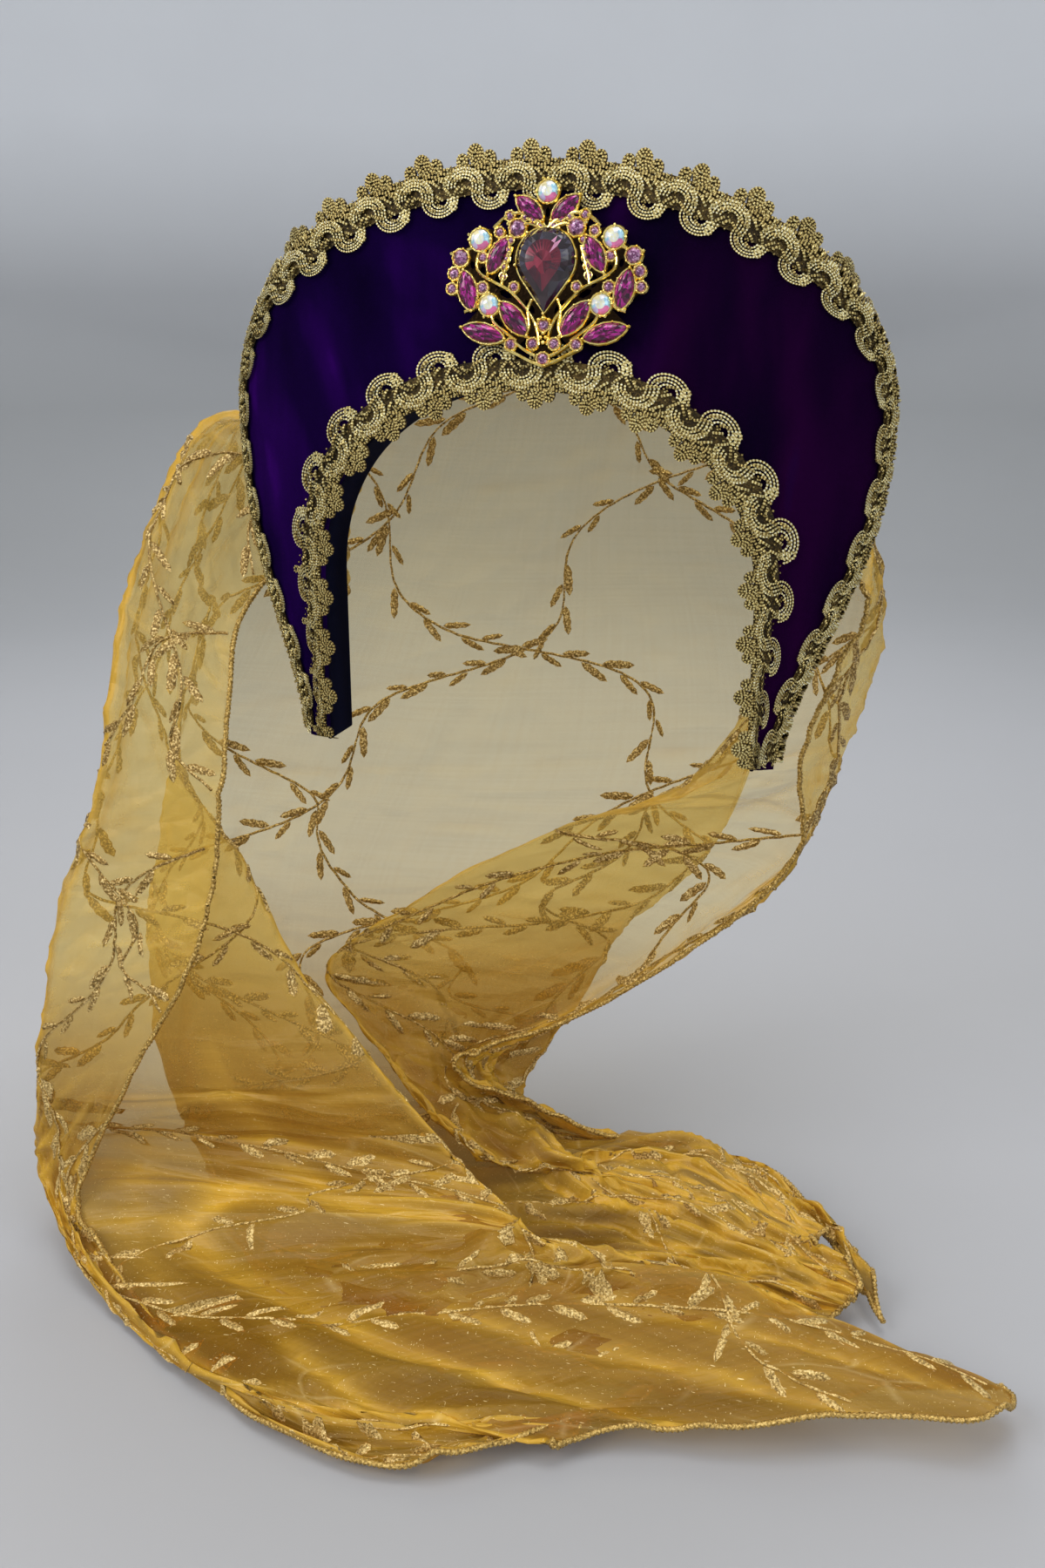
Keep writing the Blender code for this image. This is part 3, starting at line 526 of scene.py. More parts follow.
def crescentSurface(u, v):
    part = 2 * u - 1
    low = innerEdge.locate(part * innerEdge.half)
    high = outerEdge.locate(part * outerEdge.half)
    spot = low + (high - low) * v[:, None]
    normal = faceNormal(spot[:, 0], spot[:, 1])
    creases = velvet["creases"] * valueNoise(u * 34, v * 5, 1.3)
    puff = velvet["puff"] * (np.sin(np.pi * v) ** 0.7 - 1) + creases
    return facePoint(spot[:, 0], spot[:, 1]) + normal * puff[:, None]


def makeCrescent():
    piece = shellFrom("crescentVelvet", velvet, crescentSurface, (0, -1, 0), hood["wall"], -1, True)
    purple = velvetMaterial("purpleVelvet", velvet["leftStops"], velvet["rightStops"],
                            velvet["sheen"], velvet["sheenTint"])
    finishPiece(piece, purple, "purple_velvet", ("crescent",))


def bandSurface(u, v):
    outline = Edge(bothSides(halfArch(band["ease"], hood["bandOverhang"])))
    spot = outline.locate((2 * u - 1) * outline.half)
    front = faceY(spot[:, 0], spot[:, 1]) + hood["wall"] + hood["bandSeat"] + 0.2
    y = front + (hood["bandBack"] - front) * v
    return np.stack([spot[:, 0], y, spot[:, 1]], -1)


def makeBand():
    thickness = hood["bandWall"] - band["thinner"]
    piece = shellFrom("headBandVelvet", band, bandSurface, (0, 0, 1), thickness, 1, False)
    navy = velvetMaterial("darkVelvet", band["stops"], band["stops"], band["sheen"], band["sheenTint"])
    finishPiece(piece, navy, "dark_velvet", ("head_band",))


makeCrescent()
makeBand()
print("velvet crescent and head band")


# gold lace: one repeat worked flat, then laid along both edges

lace = {
    "outerFan": 14.0, "outerLeaf": 6.6, "innerFan": 15.0, "innerLeaf": 6.4, "pitch": 18.4, "seat": 0.5,
    "wrapRadius": 2.15, "wrapMost": math.radians(95), "sideShift": 7.0, "endMargin": 3.0, "innerPhase": 0.22,
    "cord": 0.36, "beadStep": 1.05, "arc": 4.9, "cordRow": (-1.95, -0.75, 0.45, 1.65), "roomShare": 0.41,
    # shapes of one repeat in x and y, y towards the velvet
    "bars": [(-8.6, 7.6, -6.0, 5.0), (-6.2, 7.4, -3.9, 5.2), (0.2, 2.6, 2.4, 5.6), (2.4, 1.8, 5.4, 4.6),
             (5.0, 1.6, 8.2, 4.2), (6.4, 4.2, 9.0, 7.6), (3.2, 6.4, 5.9, 8.6), (7.6, 1.2, 10.4, 3.4),
             (-1.4, 1.0, 1.2, 3.2)],
    "overBars": [(-3.4, 5.6, 1.6, 8.6), (-2.2, 3.2, 2.2, 5.2), (-0.6, 9.2, 2.8, 11.4), (-8.8, 3.4, -5.2, 1.9),
                 (3.4, 9.4, 6.6, 10.6)],
    "edgeCords": [(-0.7, 1.0), (0.5, 1.3), (1.6, 1.15)],  # y, lift
    "petals": [(-4.2, -2.1, 2.1, 2.6, 2.2), (5.0, -2.1, 2.2, 2.6, 2.2),  # with turns
               (0.4, -3.5, 2.8, 3.3, 3.0)],
    "petalKnots": 4, "knots": 70, "groundRows": 5, "groundColumns": 10,
    "drawnFan": 14.0, "drawnLeaf": 6.0,  # the depths that one repeat's shapes are drawn at
    "shade": (0.022, 0.014, 0.004), "bronze": (0.15, 0.095, 0.022), "gold": (0.50, 0.37, 0.115),
    "pale": (0.74, 0.68, 0.34), "glint": (1.0, 0.97, 0.80),
}


def beadedCord(path, radius, step, tone, swell=0.26, flat=1.0):
    # a twisted cord as rings that swell and pinch, with a painted highlight on each swell and painted shade
    # in each pinch; path is (x, y, lift)
    path = np.asarray(path, dtype=float)
    lengths = pathLengths(path)
    count = max(3, int(round(lengths[-1] / (step / 2))) | 1)
    line = atPlaces(path, lengths, np.linspace(0, lengths[-1], count))
    ahead = unit(np.gradient(line, axis=0))
    side = unit(np.stack([-ahead[:, 1], ahead[:, 0], np.zeros(count)], -1))
    thick = np.arange(count) % 2 == 1
    girth = radius * np.where(thick, 1 + swell, 1 - swell)
    girth[0] = girth[-1] = radius * 0.35
    points = tubePoints(line, side, np.cross(ahead, side) * flat, [girth] * 4, math.pi / 4)
    # the tone rises on swells as a painted highlight and falls at pinches as painted shade
    return points, tubeFaces(count, 4), np.repeat(tone + np.where(thick, 0.20, -0.42), 4)


def laceKnot(x, y, lift, radius, tone):
    # one stitched knot, its top point painted lighter and its lowest darker, as painted light from above
    points = [(x + radius, y, lift), (x, y + radius, lift), (x - radius, y, lift), (x, y - radius, lift),
              (x, y, lift + radius), (x, y, lift - radius)]
    faces = [(0, 1, 4), (1, 2, 4), (2, 3, 4), (3, 0, 4), (1, 0, 5), (2, 1, 5), (3, 2, 5), (0, 3, 5)]
    return np.array(points), faces, np.array([tone - 0.15] * 4 + [tone + 0.25, tone - 0.3])


def arcPath(cx, cy, rx, ry, start, end, lift, steps):
    angles = np.radians(np.linspace(start, end, steps))
    return np.stack([cx + rx * np.cos(angles), cy + ry * np.sin(angles), np.full(steps, lift)], -1)


def lacePad(cx, cy, rx, ry, lift, height, tone, salt):
    # a plump pad of dense stitching with a knobbly top
    spokes = 10
    points, faces = [(cx, cy, lift + height)], []
    for ring, turn in ((1, 0.5), (2, 0.0)):
        share = ring / 2
        for k in range(spokes):
            angle = 2 * math.pi * (k + turn) / spokes
            knob = 0.2 * (hash01(ring * 37 + k, salt) - 0.4) if ring == 1 else 0.0
            points.append((cx + rx * share * math.cos(angle), cy + ry * share * math.sin(angle),
                           lift + height * math.sqrt(max(0.0, 1 - share ** 2.2)) + knob))
    points.append((cx, cy, lift))
    a, b, base = 1, 1 + spokes, 1 + 2 * spokes
    for k in range(spokes):
        n = (k + 1) % spokes
        faces += [(0, a + k, a + n), (a + k, b + k, a + n), (a + n, b + k, b + n), (base, b + n, b + k)]
    return np.array(points), faces, np.full(len(points), tone)


def spiralPath(cx, cy, rx, ry, turns, lift, height, start):
    steps = int(18 * turns)
    share = np.linspace(1.0, 0.16, steps)
    angles = math.radians(start) + np.linspace(0, 2 * math.pi * turns, steps)
    return np.stack([cx + rx * share * np.cos(angles), cy + ry * share * np.sin(angles),
                     lift + height * np.sqrt(1 - share ** 2)], -1)


def wavePath(offset):
    # the cords' shared wave: a crest arch, a slanting run and a hanging swag, one repeat long
    half = lace["pitch"] / 2
    crest = np.radians(np.linspace(184, -6, 18))
    swag = np.radians(np.linspace(186, 366, 19))
    radius = lace["arc"]
    inside, outside = radius - offset, radius + offset
    x = np.concatenate([-half / 2 + inside * np.cos(crest), half / 2 + outside * np.cos(swag)])
    y = np.concatenate([5.3 - inside * 0.82 * np.sin(crest), 8.2 - outside * 0.80 * np.sin(swag)])
    return x, y


def laceRepeat(leafDepth, fanDepth):
    # one repeat: x along the edge, y onto the velvet, z off it; a tone for each thread
    half = lace["pitch"] / 2
    fan, leaf = fanDepth / lace["drawnFan"], leafDepth / lace["drawnLeaf"]
    parts = []

    def chance(number, salt):
        return float(hash01(number, salt))

    def bar(ends, bow, lifts, radius, step, tone, swell, flat):
        x0, y0, x1, y1 = ends
        middle = ((x0 + x1) / 2, (y0 + y1) / 2 * fan + bow, lifts[1])
        path = [(x0, y0 * fan, lifts[0]), middle, (x1, y1 * fan, lifts[2])]
        parts.append(beadedCord(path, radius, step, tone, swell, flat))

    for n, offset in enumerate(lace["cordRow"]):
        x, y = wavePath(offset)
        lift = 0.75 + 0.55 * np.clip((8.5 - y) / 6, 0, 1) + 0.05 * n
        path = np.column_stack([x, y * fan, lift])
        parts.append(beadedCord(path, lace["cord"], lace["beadStep"], 0.80 - 0.03 * n))
    fineCord = arcPath(-half / 2, 4.7 * fan, 6.2, 4.9, 196, 344, 1.15, 20)
    parts.append(beadedCord(fineCord, 0.38, 2.4, 0.66, 0.05))
    for side, _ in bothWays:
        for y, radius in ((10.9, 0.95), (9.0, 0.9)):
            ring = arcPath(side * (half + 0.25), y * fan, radius, radius * 1.15, 0, 360, 0.7, 12)
            parts.append(beadedCord(ring, 0.42, 0.9, 0.58))
    for n, ends in enumerate(lace["bars"]):
        bar(ends, 0.0, (1.0, 1.75, 1.0), 0.52, 0.95, 0.52 + 0.12 * chance(n, 3), 0.2, 0.75)
    for n, (y, lift) in enumerate(lace["edgeCords"]):
        wave = [(x, y + 0.35 * math.sin(x * 1.37 + n * 2), lift) for x in np.linspace(-half, half, 26)]
        parts.append(beadedCord(wave, 0.50, 1.15, 0.42 + 0.05 * n))
    for n, (cx, cy, rx, ry, turns) in enumerate(lace["petals"]):
        cy, ry = cy * leaf, ry * leaf
        # each pad's low tone is painted shade under its spiral cord
        parts.append(lacePad(cx, cy, rx, ry, 0.3, 0.7, 0.12, n + 2))
        parts.append(beadedCord(spiralPath(cx, cy, rx, ry, turns, 0.65, 0.7, 90 + 40 * n), 0.44, 1.1, 0.50))
        for k in range(lace["petalKnots"]):
            angle, share = 6.28 * chance(k + 9 * n, 21.0), 0.85 * chance(k + 9 * n, 22.0)
            x, y = cx + rx * share * math.cos(angle), cy + ry * share * math.sin(angle)
            parts.append(laceKnot(x, y, 1.45, 0.4, 0.62))
    for ends in lace["overBars"]:
        bar(ends, 0.5, (1.1, 2.0, 1.2), 0.50, 1.0, 0.50, 0.24, 0.8)
    for n in range(lace["knots"]):
        x = -half + lace["pitch"] * chance(n, 11.0)
        y = -1.6 + 10.4 * chance(n, 12.0) ** 1.25
        parts.append(laceKnot(x, y * fan if y > 0 else y, 1.0 + 0.7 * chance(n, 13.0),
                              0.36 + 0.2 * chance(n, 14.0), 0.36 + 0.34 * chance(n, 15.0)))
    # the ground net's low tone is painted shade between the threads
    rows, columns = lace["groundRows"], lace["groundColumns"]
    ground = [(x, y, 0.25 + 0.3 * chance(int(x * 31) + int(y * 57), 5))
              for y in np.linspace(-1.5, 8.2 * fan, rows) for x in np.linspace(-half, half, columns)]
    corners = [r * columns + c for r in range(rows - 1) for c in range(columns - 1)]
    parts.append((ground, [(a, a + 1, a + columns + 1, a + columns) for a in corners],
                  np.full(len(ground), 0.12)))
    points, faces = joinParts(parts)
    return points, faces, np.concatenate([part[2] for part in parts])


def sideShare(edge, along):
    part = np.clip((np.abs(along) / edge.half - 0.22) / 0.4, 0, 1)
    return part * part * (3 - 2 * part)


def layLace(edge, side, wraps, along, across, lift):
    spot = edge.locate(along)
    flatWay, inward = edge.heading(along, side)
    on = spot + flatWay * across[:, None]
    laid = facePoint(on[:, 0], on[:, 1]) + faceNormal(on[:, 0], on[:, 1]) * lift[:, None]
    if not wraps:
        return laid
    radius = lace["wrapRadius"]
    wrap = lace["wrapMost"] * sideShare(edge, along)
    turned = np.minimum(np.maximum(-across, 0) / radius, wrap)
    front = faceNormal(spot[:, 0], spot[:, 1])
    centre = facePoint(spot[:, 0], spot[:, 1]) + front * (lace["seat"] - radius)
    spoke = front * np.cos(turned)[:, None] - inward * np.sin(turned)[:, None]
    ahead = -inward * np.cos(turned)[:, None] - front * np.sin(turned)[:, None]
    extra = np.maximum(0, -across - wrap * radius)
    folded = centre + spoke * (radius + lift - lace["seat"])[:, None] + ahead * extra[:, None]
    return np.where((across >= 0)[:, None], laid, folded)


def laceMaterial():
    recipe = Recipe("goldLaceThread")
    where = recipe.space()
    specks = recipe.math("MULTIPLY_ADD", recipe.noise(where, 1500.0, 2.0), 0.5,
                         recipe.attribute("threadToneAndPaintedLight"))
    drift = recipe.math("MULTIPLY_ADD", recipe.noise(where, 60.0, 2.0), 0.3, specks)
    # tones run from a painted shade colour through bronze, gold and pale to a painted glint
    colour = recipe.ramp(recipe.math("SUBTRACT", drift, 0.40),
                         [(0.08, lace["shade"]), (0.28, lace["bronze"]), (0.52, lace["gold"]),
                          (0.80, lace["pale"]), (1.0, lace["glint"])])
    recipe.surface({"Base Color": colour, "Metallic": 0.7, "Roughness": 0.33})
    recipe.bump([(recipe.noise(where, 3800.0, 2.0), 1.0)], 0.6, 0.0003)
    return recipe.material


def makeLaceTrim(name, edge, other, side, wraps, phase, fan, leaf, material, node):
    points, faces, tones = laceRepeat(leaf, fan)
    usable = 2 * edge.half - 2 * lace["endMargin"]
    count = int(usable / lace["pitch"])
    pitch = usable / count
    low, high = -edge.half + 1.0, edge.half - 1.0
    far = facePoint(other.flat[:, 0], other.flat[:, 1])
    copies = []
    for number in range(-1 if phase else 0, count):
        middle = -edge.half + lace["endMargin"] + (number + 0.5 + phase) * pitch
        along = middle + points[:, 0] * pitch / lace["pitch"]
        if along.max() < low + 4 or along.min() > high - 4:
            continue
        along = np.clip(along, low, high)
        here = edge.locate(middle)
        room = np.linalg.norm(far - facePoint(here[0], here[1]), axis=1).min()
        shift = lace["sideShift"] * sideShare(edge, along) if wraps else np.zeros(len(along))
        reach = np.minimum(fan - shift, lace["roomShare"] * room - 0.35)
        outside = points[:, 1] - shift * np.clip(-points[:, 1] / 2.0, 0, 1)
        across = np.where(points[:, 1] > 0, points[:, 1] / fan * reach, outside)
        copies.append((layLace(edge, side, wraps, along, across, lace["seat"] + points[:, 2]), faces))
    solid, allFaces = joinParts(copies)
    piece = meshPiece(name, solid, allFaces)
    attribute = piece.data.attributes.new("threadToneAndPaintedLight", "FLOAT", "POINT")
    attribute.data.foreach_set("value", np.tile(tones, len(copies)))
    editAll(piece, bpy.ops.mesh.normals_make_consistent, inside=False)
    finishPiece(piece, material, "gold_lace", (node,), 75)
    print(name, "repeats", count, "faces", len(piece.data.polygons))


thread = laceMaterial()
makeLaceTrim("outerLace", outerEdge, innerEdge, -1, True, 0.0, lace["outerFan"], lace["outerLeaf"],
             thread, "outer_trim")
makeLaceTrim("innerLace", innerEdge, outerEdge, 1, False, lace["innerPhase"], lace["innerFan"],
             lace["innerLeaf"], thread, "inner_trim")
print("gold lace trims")


# brooch: gold wires and bezels, cut stones, small pavé stones

brooch = {
    "x": 7.5, "z": 37.0, "plateTop": 4.35, "stoneSeat": 4.6,
    # the pear stone's round centre, radius, point and crown, and the spot and tint of its painted highlight
    "pear": (3.6, 9.9, -13.2, 4.2), "paintedHighlightAt": (4.2, 7.6), "paintedHighlightTint": (0.80, 0.36, 0.55),
    # stones of the right side: name, x, z, length, width, lean, crown
    "marquises": [("crown", 6.0, 19.4, 11.0, 5.2, -39, 1.9), ("shoulder", 16.4, 5.0, 12.0, 5.4, 62, 2.0),
                  ("side", 26.6, -6.0, 12.4, 6.0, -77, 2.1), ("petal", 10.4, -15.0, 13.4, 6.0, -49, 2.1),
                  ("foot", 20.8, -19.6, 14.4, 5.8, -14, 2.1)],
    "crystals": [("top", 0.0, 24.6, 3.3, 1.7), ("upper", 22.6, 10.0, 3.3, 1.7),
                 ("lower", 19.0, -10.6, 3.2, 1.7)],
    "amethysts": [("heart", 9.9, 13.4, 2.6, 1.5), ("wing", 29.2, 4.4, 2.5, 1.4),
                  ("wing_mid", 31.4, -0.6, 1.7, 1.1), ("wing_low", 32.1, -5.4, 1.5, 1.0),
                  ("scroll", 21.4, -5.2, 1.6, 1.0), ("stem", 0.0, -17.0, 1.8, 1.1),
                  ("rail_out", 11.2, -23.2, 1.6, 1.0), ("rail_in", 3.7, -23.0, 1.6, 1.0),
                  ("tip", 0.0, -27.8, 1.8, 1.1), ("horn", 12.6, 17.2, 1.3, 0.9),
                  ("heart_side", 16.0, 12.2, 1.3, 0.9), ("shoulder_dot", 21.6, 4.4, 1.3, 0.9),
                  ("waist_dot", 10.6, -5.0, 1.3, 0.9)],
    # gold wires of the right side as points x, z
    "wires": [
        [(0.0, 12.9), (2.6, 15.4), (6.2, 17.2), (10.4, 18.0), (14.4, 16.6), (18.0, 13.6)],
        [(0.0, 11.4), (2.4, 13.4), (5.6, 14.6), (7.6, 14.4)],
        [(22.6, 6.6), (23.6, 2.6), (22.2, -0.6), (17.6, -3.2), (12.4, -5.8), (7.6, -10.2), (3.8, -15.0),
         (2.0, -19.4), (1.4, -23.4)],
        [(11.6, 7.6), (13.2, 2.2), (14.4, -1.6), (14.9, -4.4)],
        [(18.4, -13.6), (16.8, -16.4), (13.0, -19.4), (9.2, -22.0)],
        [(12.6, -24.6), (8.6, -26.4), (4.4, -28.4), (0.0, -30.0)],
        [(9.8, -22.4), (5.8, -25.2), (2.4, -26.8)],
        [(25.0, 7.4), (27.0, 6.8)],
        [(21.8, -8.6), (24.0, -11.6), (27.4, -12.8)],
        [(4.4, -8.9), (5.6, -12.6), (5.0, -17.8), (6.4, -21.0)],
    ],
    "pave": [(2.0, 14.1), (4.6, 15.9), (7.4, 16.8), (12.2, 9.6), (12.9, 6.6), (13.3, 3.8), (13.9, 1.2),
             (14.4, -1.6)],
    "paveRadius": 0.95,
    # wires as height over the plate and radius
    "bezelWires": [(0.45, 0.42), (0.02, 0.50)], "scrollWires": [(0.55, 0.52), (-0.15, 0.62)],
    "paveWire": (0.45, 0.32),
    # gold balls on the middle line: x, z, radius
    "balls": [(0.0, -14.9, 1.1), (-1.7, -15.4, 0.85), (1.7, -15.4, 0.85), (0.0, -19.6, 0.85),
              (-0.9, -21.0, 0.85), (0.9, -21.0, 0.85), (0.0, -22.6, 0.85)],
    # the last colour is a near-black painted shade for the plate's recesses
    "gold": (1.0, 0.80, 0.27), "goldDeep": (0.86, 0.56, 0.08), "recessShade": (0.022, 0.012, 0.006),
}


def broochFrame():
    x, z = np.float64(brooch["x"]), np.float64(brooch["z"])
    out = Vector(faceNormal(x, z))
    across = Vector((1, 0, 0))
    across = (across - out * across.dot(out)).normalized()
    turn = Matrix((across, out.cross(across), out)).transposed().to_4x4()
    return Matrix.Translation(Vector(facePoint(x, z))) @ turn


broochMatrix = broochFrame()


def onBrooch(points):
    return [tuple(broochMatrix @ Vector(p)) for p in points]


def roundOutline(x, z, radius, sides):
    return [(x + radius * math.cos(2 * math.pi * k / sides), z + radius * math.sin(2 * math.pi * k / sides))
            for k in range(sides)]


def marquiseOutline(x, z, length, width, lean, sides=16):
    c, s = math.cos(math.radians(lean)), math.sin(math.radians(lean))
    points = []
    for k in range(sides):
        angle = 2 * math.pi * k / sides
        a = length / 2 * math.cos(angle)
        b = width / 2 * math.sin(angle) * (abs(math.sin(angle)) ** 0.35)
        points.append((x + a * c - b * s, z + a * s + b * c))
    return points


def pearOutline(grow=0.0, sides=24):
    centre, radius, point = brooch["pear"][:3]
    tangent = math.asin(radius / (centre - point))
    radius += grow
    last = sides - 4
    points = []
    for k in range(last + 1):
        angle = -tangent + (math.pi + 2 * tangent) * k / last
        points.append((radius * math.cos(angle), centre + radius * math.sin(angle)))
    tip = point - grow / math.sin(tangent)
    left, right = points[-1], points[0]
    points.append((left[0] * 0.5, (left[1] + tip) / 2))
    points.append((0.0, tip))
    points.append((right[0] * 0.5, (right[1] + tip) / 2))
    return points


def goldMaterial(name, shadeBelow=None):
    # bright yellow gold; below the height given last, the plate is painted near black as shade in its
    # recesses
    recipe = Recipe(name)
    where = recipe.space()
    colour = recipe.ramp(recipe.noise(where, 320.0, 3.0),
                         [(0.35, brooch["goldDeep"]), (0.55, brooch["gold"])])
    if shadeBelow is not None:
        out = broochMatrix.to_3x3() @ Vector((0, 0, 1))
        level = (out.dot(broochMatrix.translation) + shadeBelow) * mm
        height = recipe.vector("DOT_PRODUCT", where, out).outputs["Value"]
        # painted shade below that height
        colour = recipe.mix(recipe.span(height, level, level + 0.0004), brooch["recessShade"], colour)
    recipe.surface({"Base Color": colour, "Metallic": 1.0, "Roughness": 0.17})
    recipe.bump([(recipe.noise(where, 900.0, 2.0), 1.0)], 0.35, 0.0003)
    return recipe.material


def stoneMaterial(name, rough, metal, coat):
    # foiled glass: each facet has its own tint, the glass's hue with painted reflections in how light or dark
    # it is, under a clear hard gloss
    recipe = Recipe(name)
    depth = recipe.ramp(recipe.noise(recipe.space(), 420.0, 1.0), greys((0.35, 0.72), (0.65, 1.0)))
    colour = recipe.mix(1.0, recipe.attribute("facetHueAndReflection", "Color"), depth, "MULTIPLY")
    recipe.surface({"Base Color": colour, "Metallic": metal, "Roughness": rough, "Coat Weight": coat,
                    "Coat Roughness": 0.02, "IOR": 1.6})
    return recipe.material


gold = goldMaterial("yellowGoldWire")
goldPlate = goldMaterial("yellowGoldPlate", brooch["plateTop"] + 0.05)
stoneFinishes = {
    "garnet": (stoneMaterial("garnetGlass", 0.08, 0.15, 0.7), "garnet_glass"),
    "fuchsia": (stoneMaterial("fuchsiaGlass", 0.08, 0.30, 0.45), "fuchsia_glass"),
    "crystal": (stoneMaterial("rainbowCrystal", 0.10, 0.15, 1.0), "clear_crystal"),
    "amethyst": (stoneMaterial("amethystGlass", 0.08, 0.35, 1.0), "amethyst_glass"),
}
# each stone's hue, its facets lighter and darker as painted reflections
stoneTints = {
    "garnet": [(0.016, 0.010, 0.014), (0.038, 0.032, 0.044), (0.028, 0.009, 0.015), (0.055, 0.05, 0.08),
               (0.012, 0.004, 0.008)],
    "garnetTable": [(0.050, 0.003, 0.012), (0.13, 0.006, 0.020), (0.20, 0.012, 0.032), (0.085, 0.004, 0.016),
                    (0.30, 0.03, 0.06)],
    "fuchsia": [(0.10, 0.001, 0.045), (0.22, 0.002, 0.11), (0.035, 0.0005, 0.018), (0.50, 0.012, 0.30),
                (0.14, 0.001, 0.065)],
    "amethyst": [(0.22, 0.05, 0.17), (0.42, 0.15, 0.34), (0.10, 0.02, 0.075), (0.66, 0.38, 0.58),
                 (0.18, 0.04, 0.13)],
}
# the crystal's coating hues painted by side as reflections, with white and pale table tints as painted
# highlights
rainbow = {"table": (0.93, 0.93, 0.66), "warm": (0.96, 0.86, 0.50), "pink": (0.95, 0.22, 0.50),
           "sky": (0.42, 0.74, 0.92), "white": (0.90, 0.94, 0.97), "violet": (0.70, 0.60, 0.92)}


def facetHueAndReflection(finish, zone, angle, number, salt):
    # which tint a facet takes, a painted reflection over the stone's hue: a crystal's by its side, a coloured
    # stone's by chance
    if finish == "crystal":
        if zone == "table":
            return rainbow["table"] if number % 3 else rainbow["white"]
        order = ["sky", "white", "warm", "white", "sky", "violet", "pink", "pink", "sky"]
        return rainbow[order[int((angle / (2 * math.pi)) * len(order)) % len(order)]]
    colours = stoneTints["garnetTable"] if finish == "garnet" and zone == "table" else stoneTints[finish]
    return colours[int(hash01(number + salt, 2.0) * len(colours)) % len(colours)]


def cutStone(name, outline, centre, crown, finish, node):
    # girdle, kite facets, star facets and a table, as flat facets that each take a tint
    seat = brooch["stoneSeat"]
    sides = len(outline)
    rim = np.array(outline)
    middle = np.array(centre)
    table = 0.62 if finish == "garnet" else 0.52
    salt = sum(ord(c) for c in name) % 97

    def ring(share, height, turned):
        flat = middle + (rim - middle) * share
        if turned:
            flat = (flat + np.roll(flat, -1, axis=0)) / 2
        return np.column_stack([flat, np.full(sides, seat + height)])

    levels = [ring(0.94, 0.0, False), ring(1.0, 0.22 * crown, False),
              ring((1 + table) / 2 + 0.04, 0.66 * crown, True),
              ring(table, 0.94 * crown, False), ring(table * 0.5, 0.985 * crown, True)]
    points = [tuple(p) for level in levels for p in level]
    heart = len(points)
    points.append((centre[0], centre[1], seat + crown))
    faces, tints = [], []

    def facet(corners, zone, k, number):
        faces.append(corners)
        at = np.mean([points[c] for c in corners], axis=0)
        x, z = brooch["paintedHighlightAt"]
        # facets near that spot take the painted highlight
        if finish == "garnet" and abs(at[0] - x) < 1.1 and abs(at[1] - z) < 1.5:
            tints.append(brooch["paintedHighlightTint"])
        else:
            tints.append(facetHueAndReflection(finish, zone, 2 * math.pi * k / sides, number, salt))

    for k in range(sides):
        n = (k + 1) % sides
        facet((k, n, sides + n, sides + k), "girdle", k, k // 2)
        facet((sides + k, sides + n, 2 * sides + k), "crown", k, k + 20)
        facet((sides + n, 2 * sides + n, 2 * sides + k), "crown", k, n + 60)
        facet((2 * sides + k, 3 * sides + n, 3 * sides + k), "crown", k, k + 100)
        facet((2 * sides + k, 2 * sides + n, 3 * sides + n), "crown", k, n + 60)
        facet((3 * sides + k, 3 * sides + n, 4 * sides + k), "table", k, k // 2 + 140)
        facet((3 * sides + n, 4 * sides + n, 4 * sides + k), "table", k, n // 2 + 180)
        facet((4 * sides + k, 4 * sides + n, heart), "table", k, k // 2 + 220)
    facet(tuple(range(sides))[::-1], "girdle", 0, 0)
    piece = meshPiece(name, onBrooch(points), faces)
    attribute = piece.data.attributes.new("facetHueAndReflection", "FLOAT_COLOR", "CORNER")
    colours = []
    for polygon in piece.data.polygons:
        colours += [(*tints[polygon.index], 1.0)] * polygon.loop_total
    attribute.data.foreach_set("color", np.array(colours).ravel())
    material, slotName = stoneFinishes[finish]
    finishPiece(piece, material, slotName, (node,) if node else (), None)


def stonePlan():
    # name, outline, centre, crown and finish of each stone that is a node
    plan = [("pear_stone", pearOutline(-0.1), (0.0, 2.4), brooch["pear"][3], "garnet")]
    for name, x, z, length, width, lean, crown in brooch["marquises"]:
        for side, word in bothWays:
            outline = marquiseOutline(side * x, z, length, width, -side * lean)
            plan.append((f"marquise_{name}_{word}", outline, (side * x, z), crown, "fuchsia"))
    for kind, sides in (("crystal", 16), ("amethyst", 10)):
        for name, x, z, radius, crown in brooch[kind + "s"]:
            for side, word in bothWays if x else ((0, ""),):
                outline = roundOutline(side * x, z, radius, sides)
                plan.append((f"{kind}_{name}_{word}".rstrip("_"), outline, (side * x, z), crown, kind))
    return plan


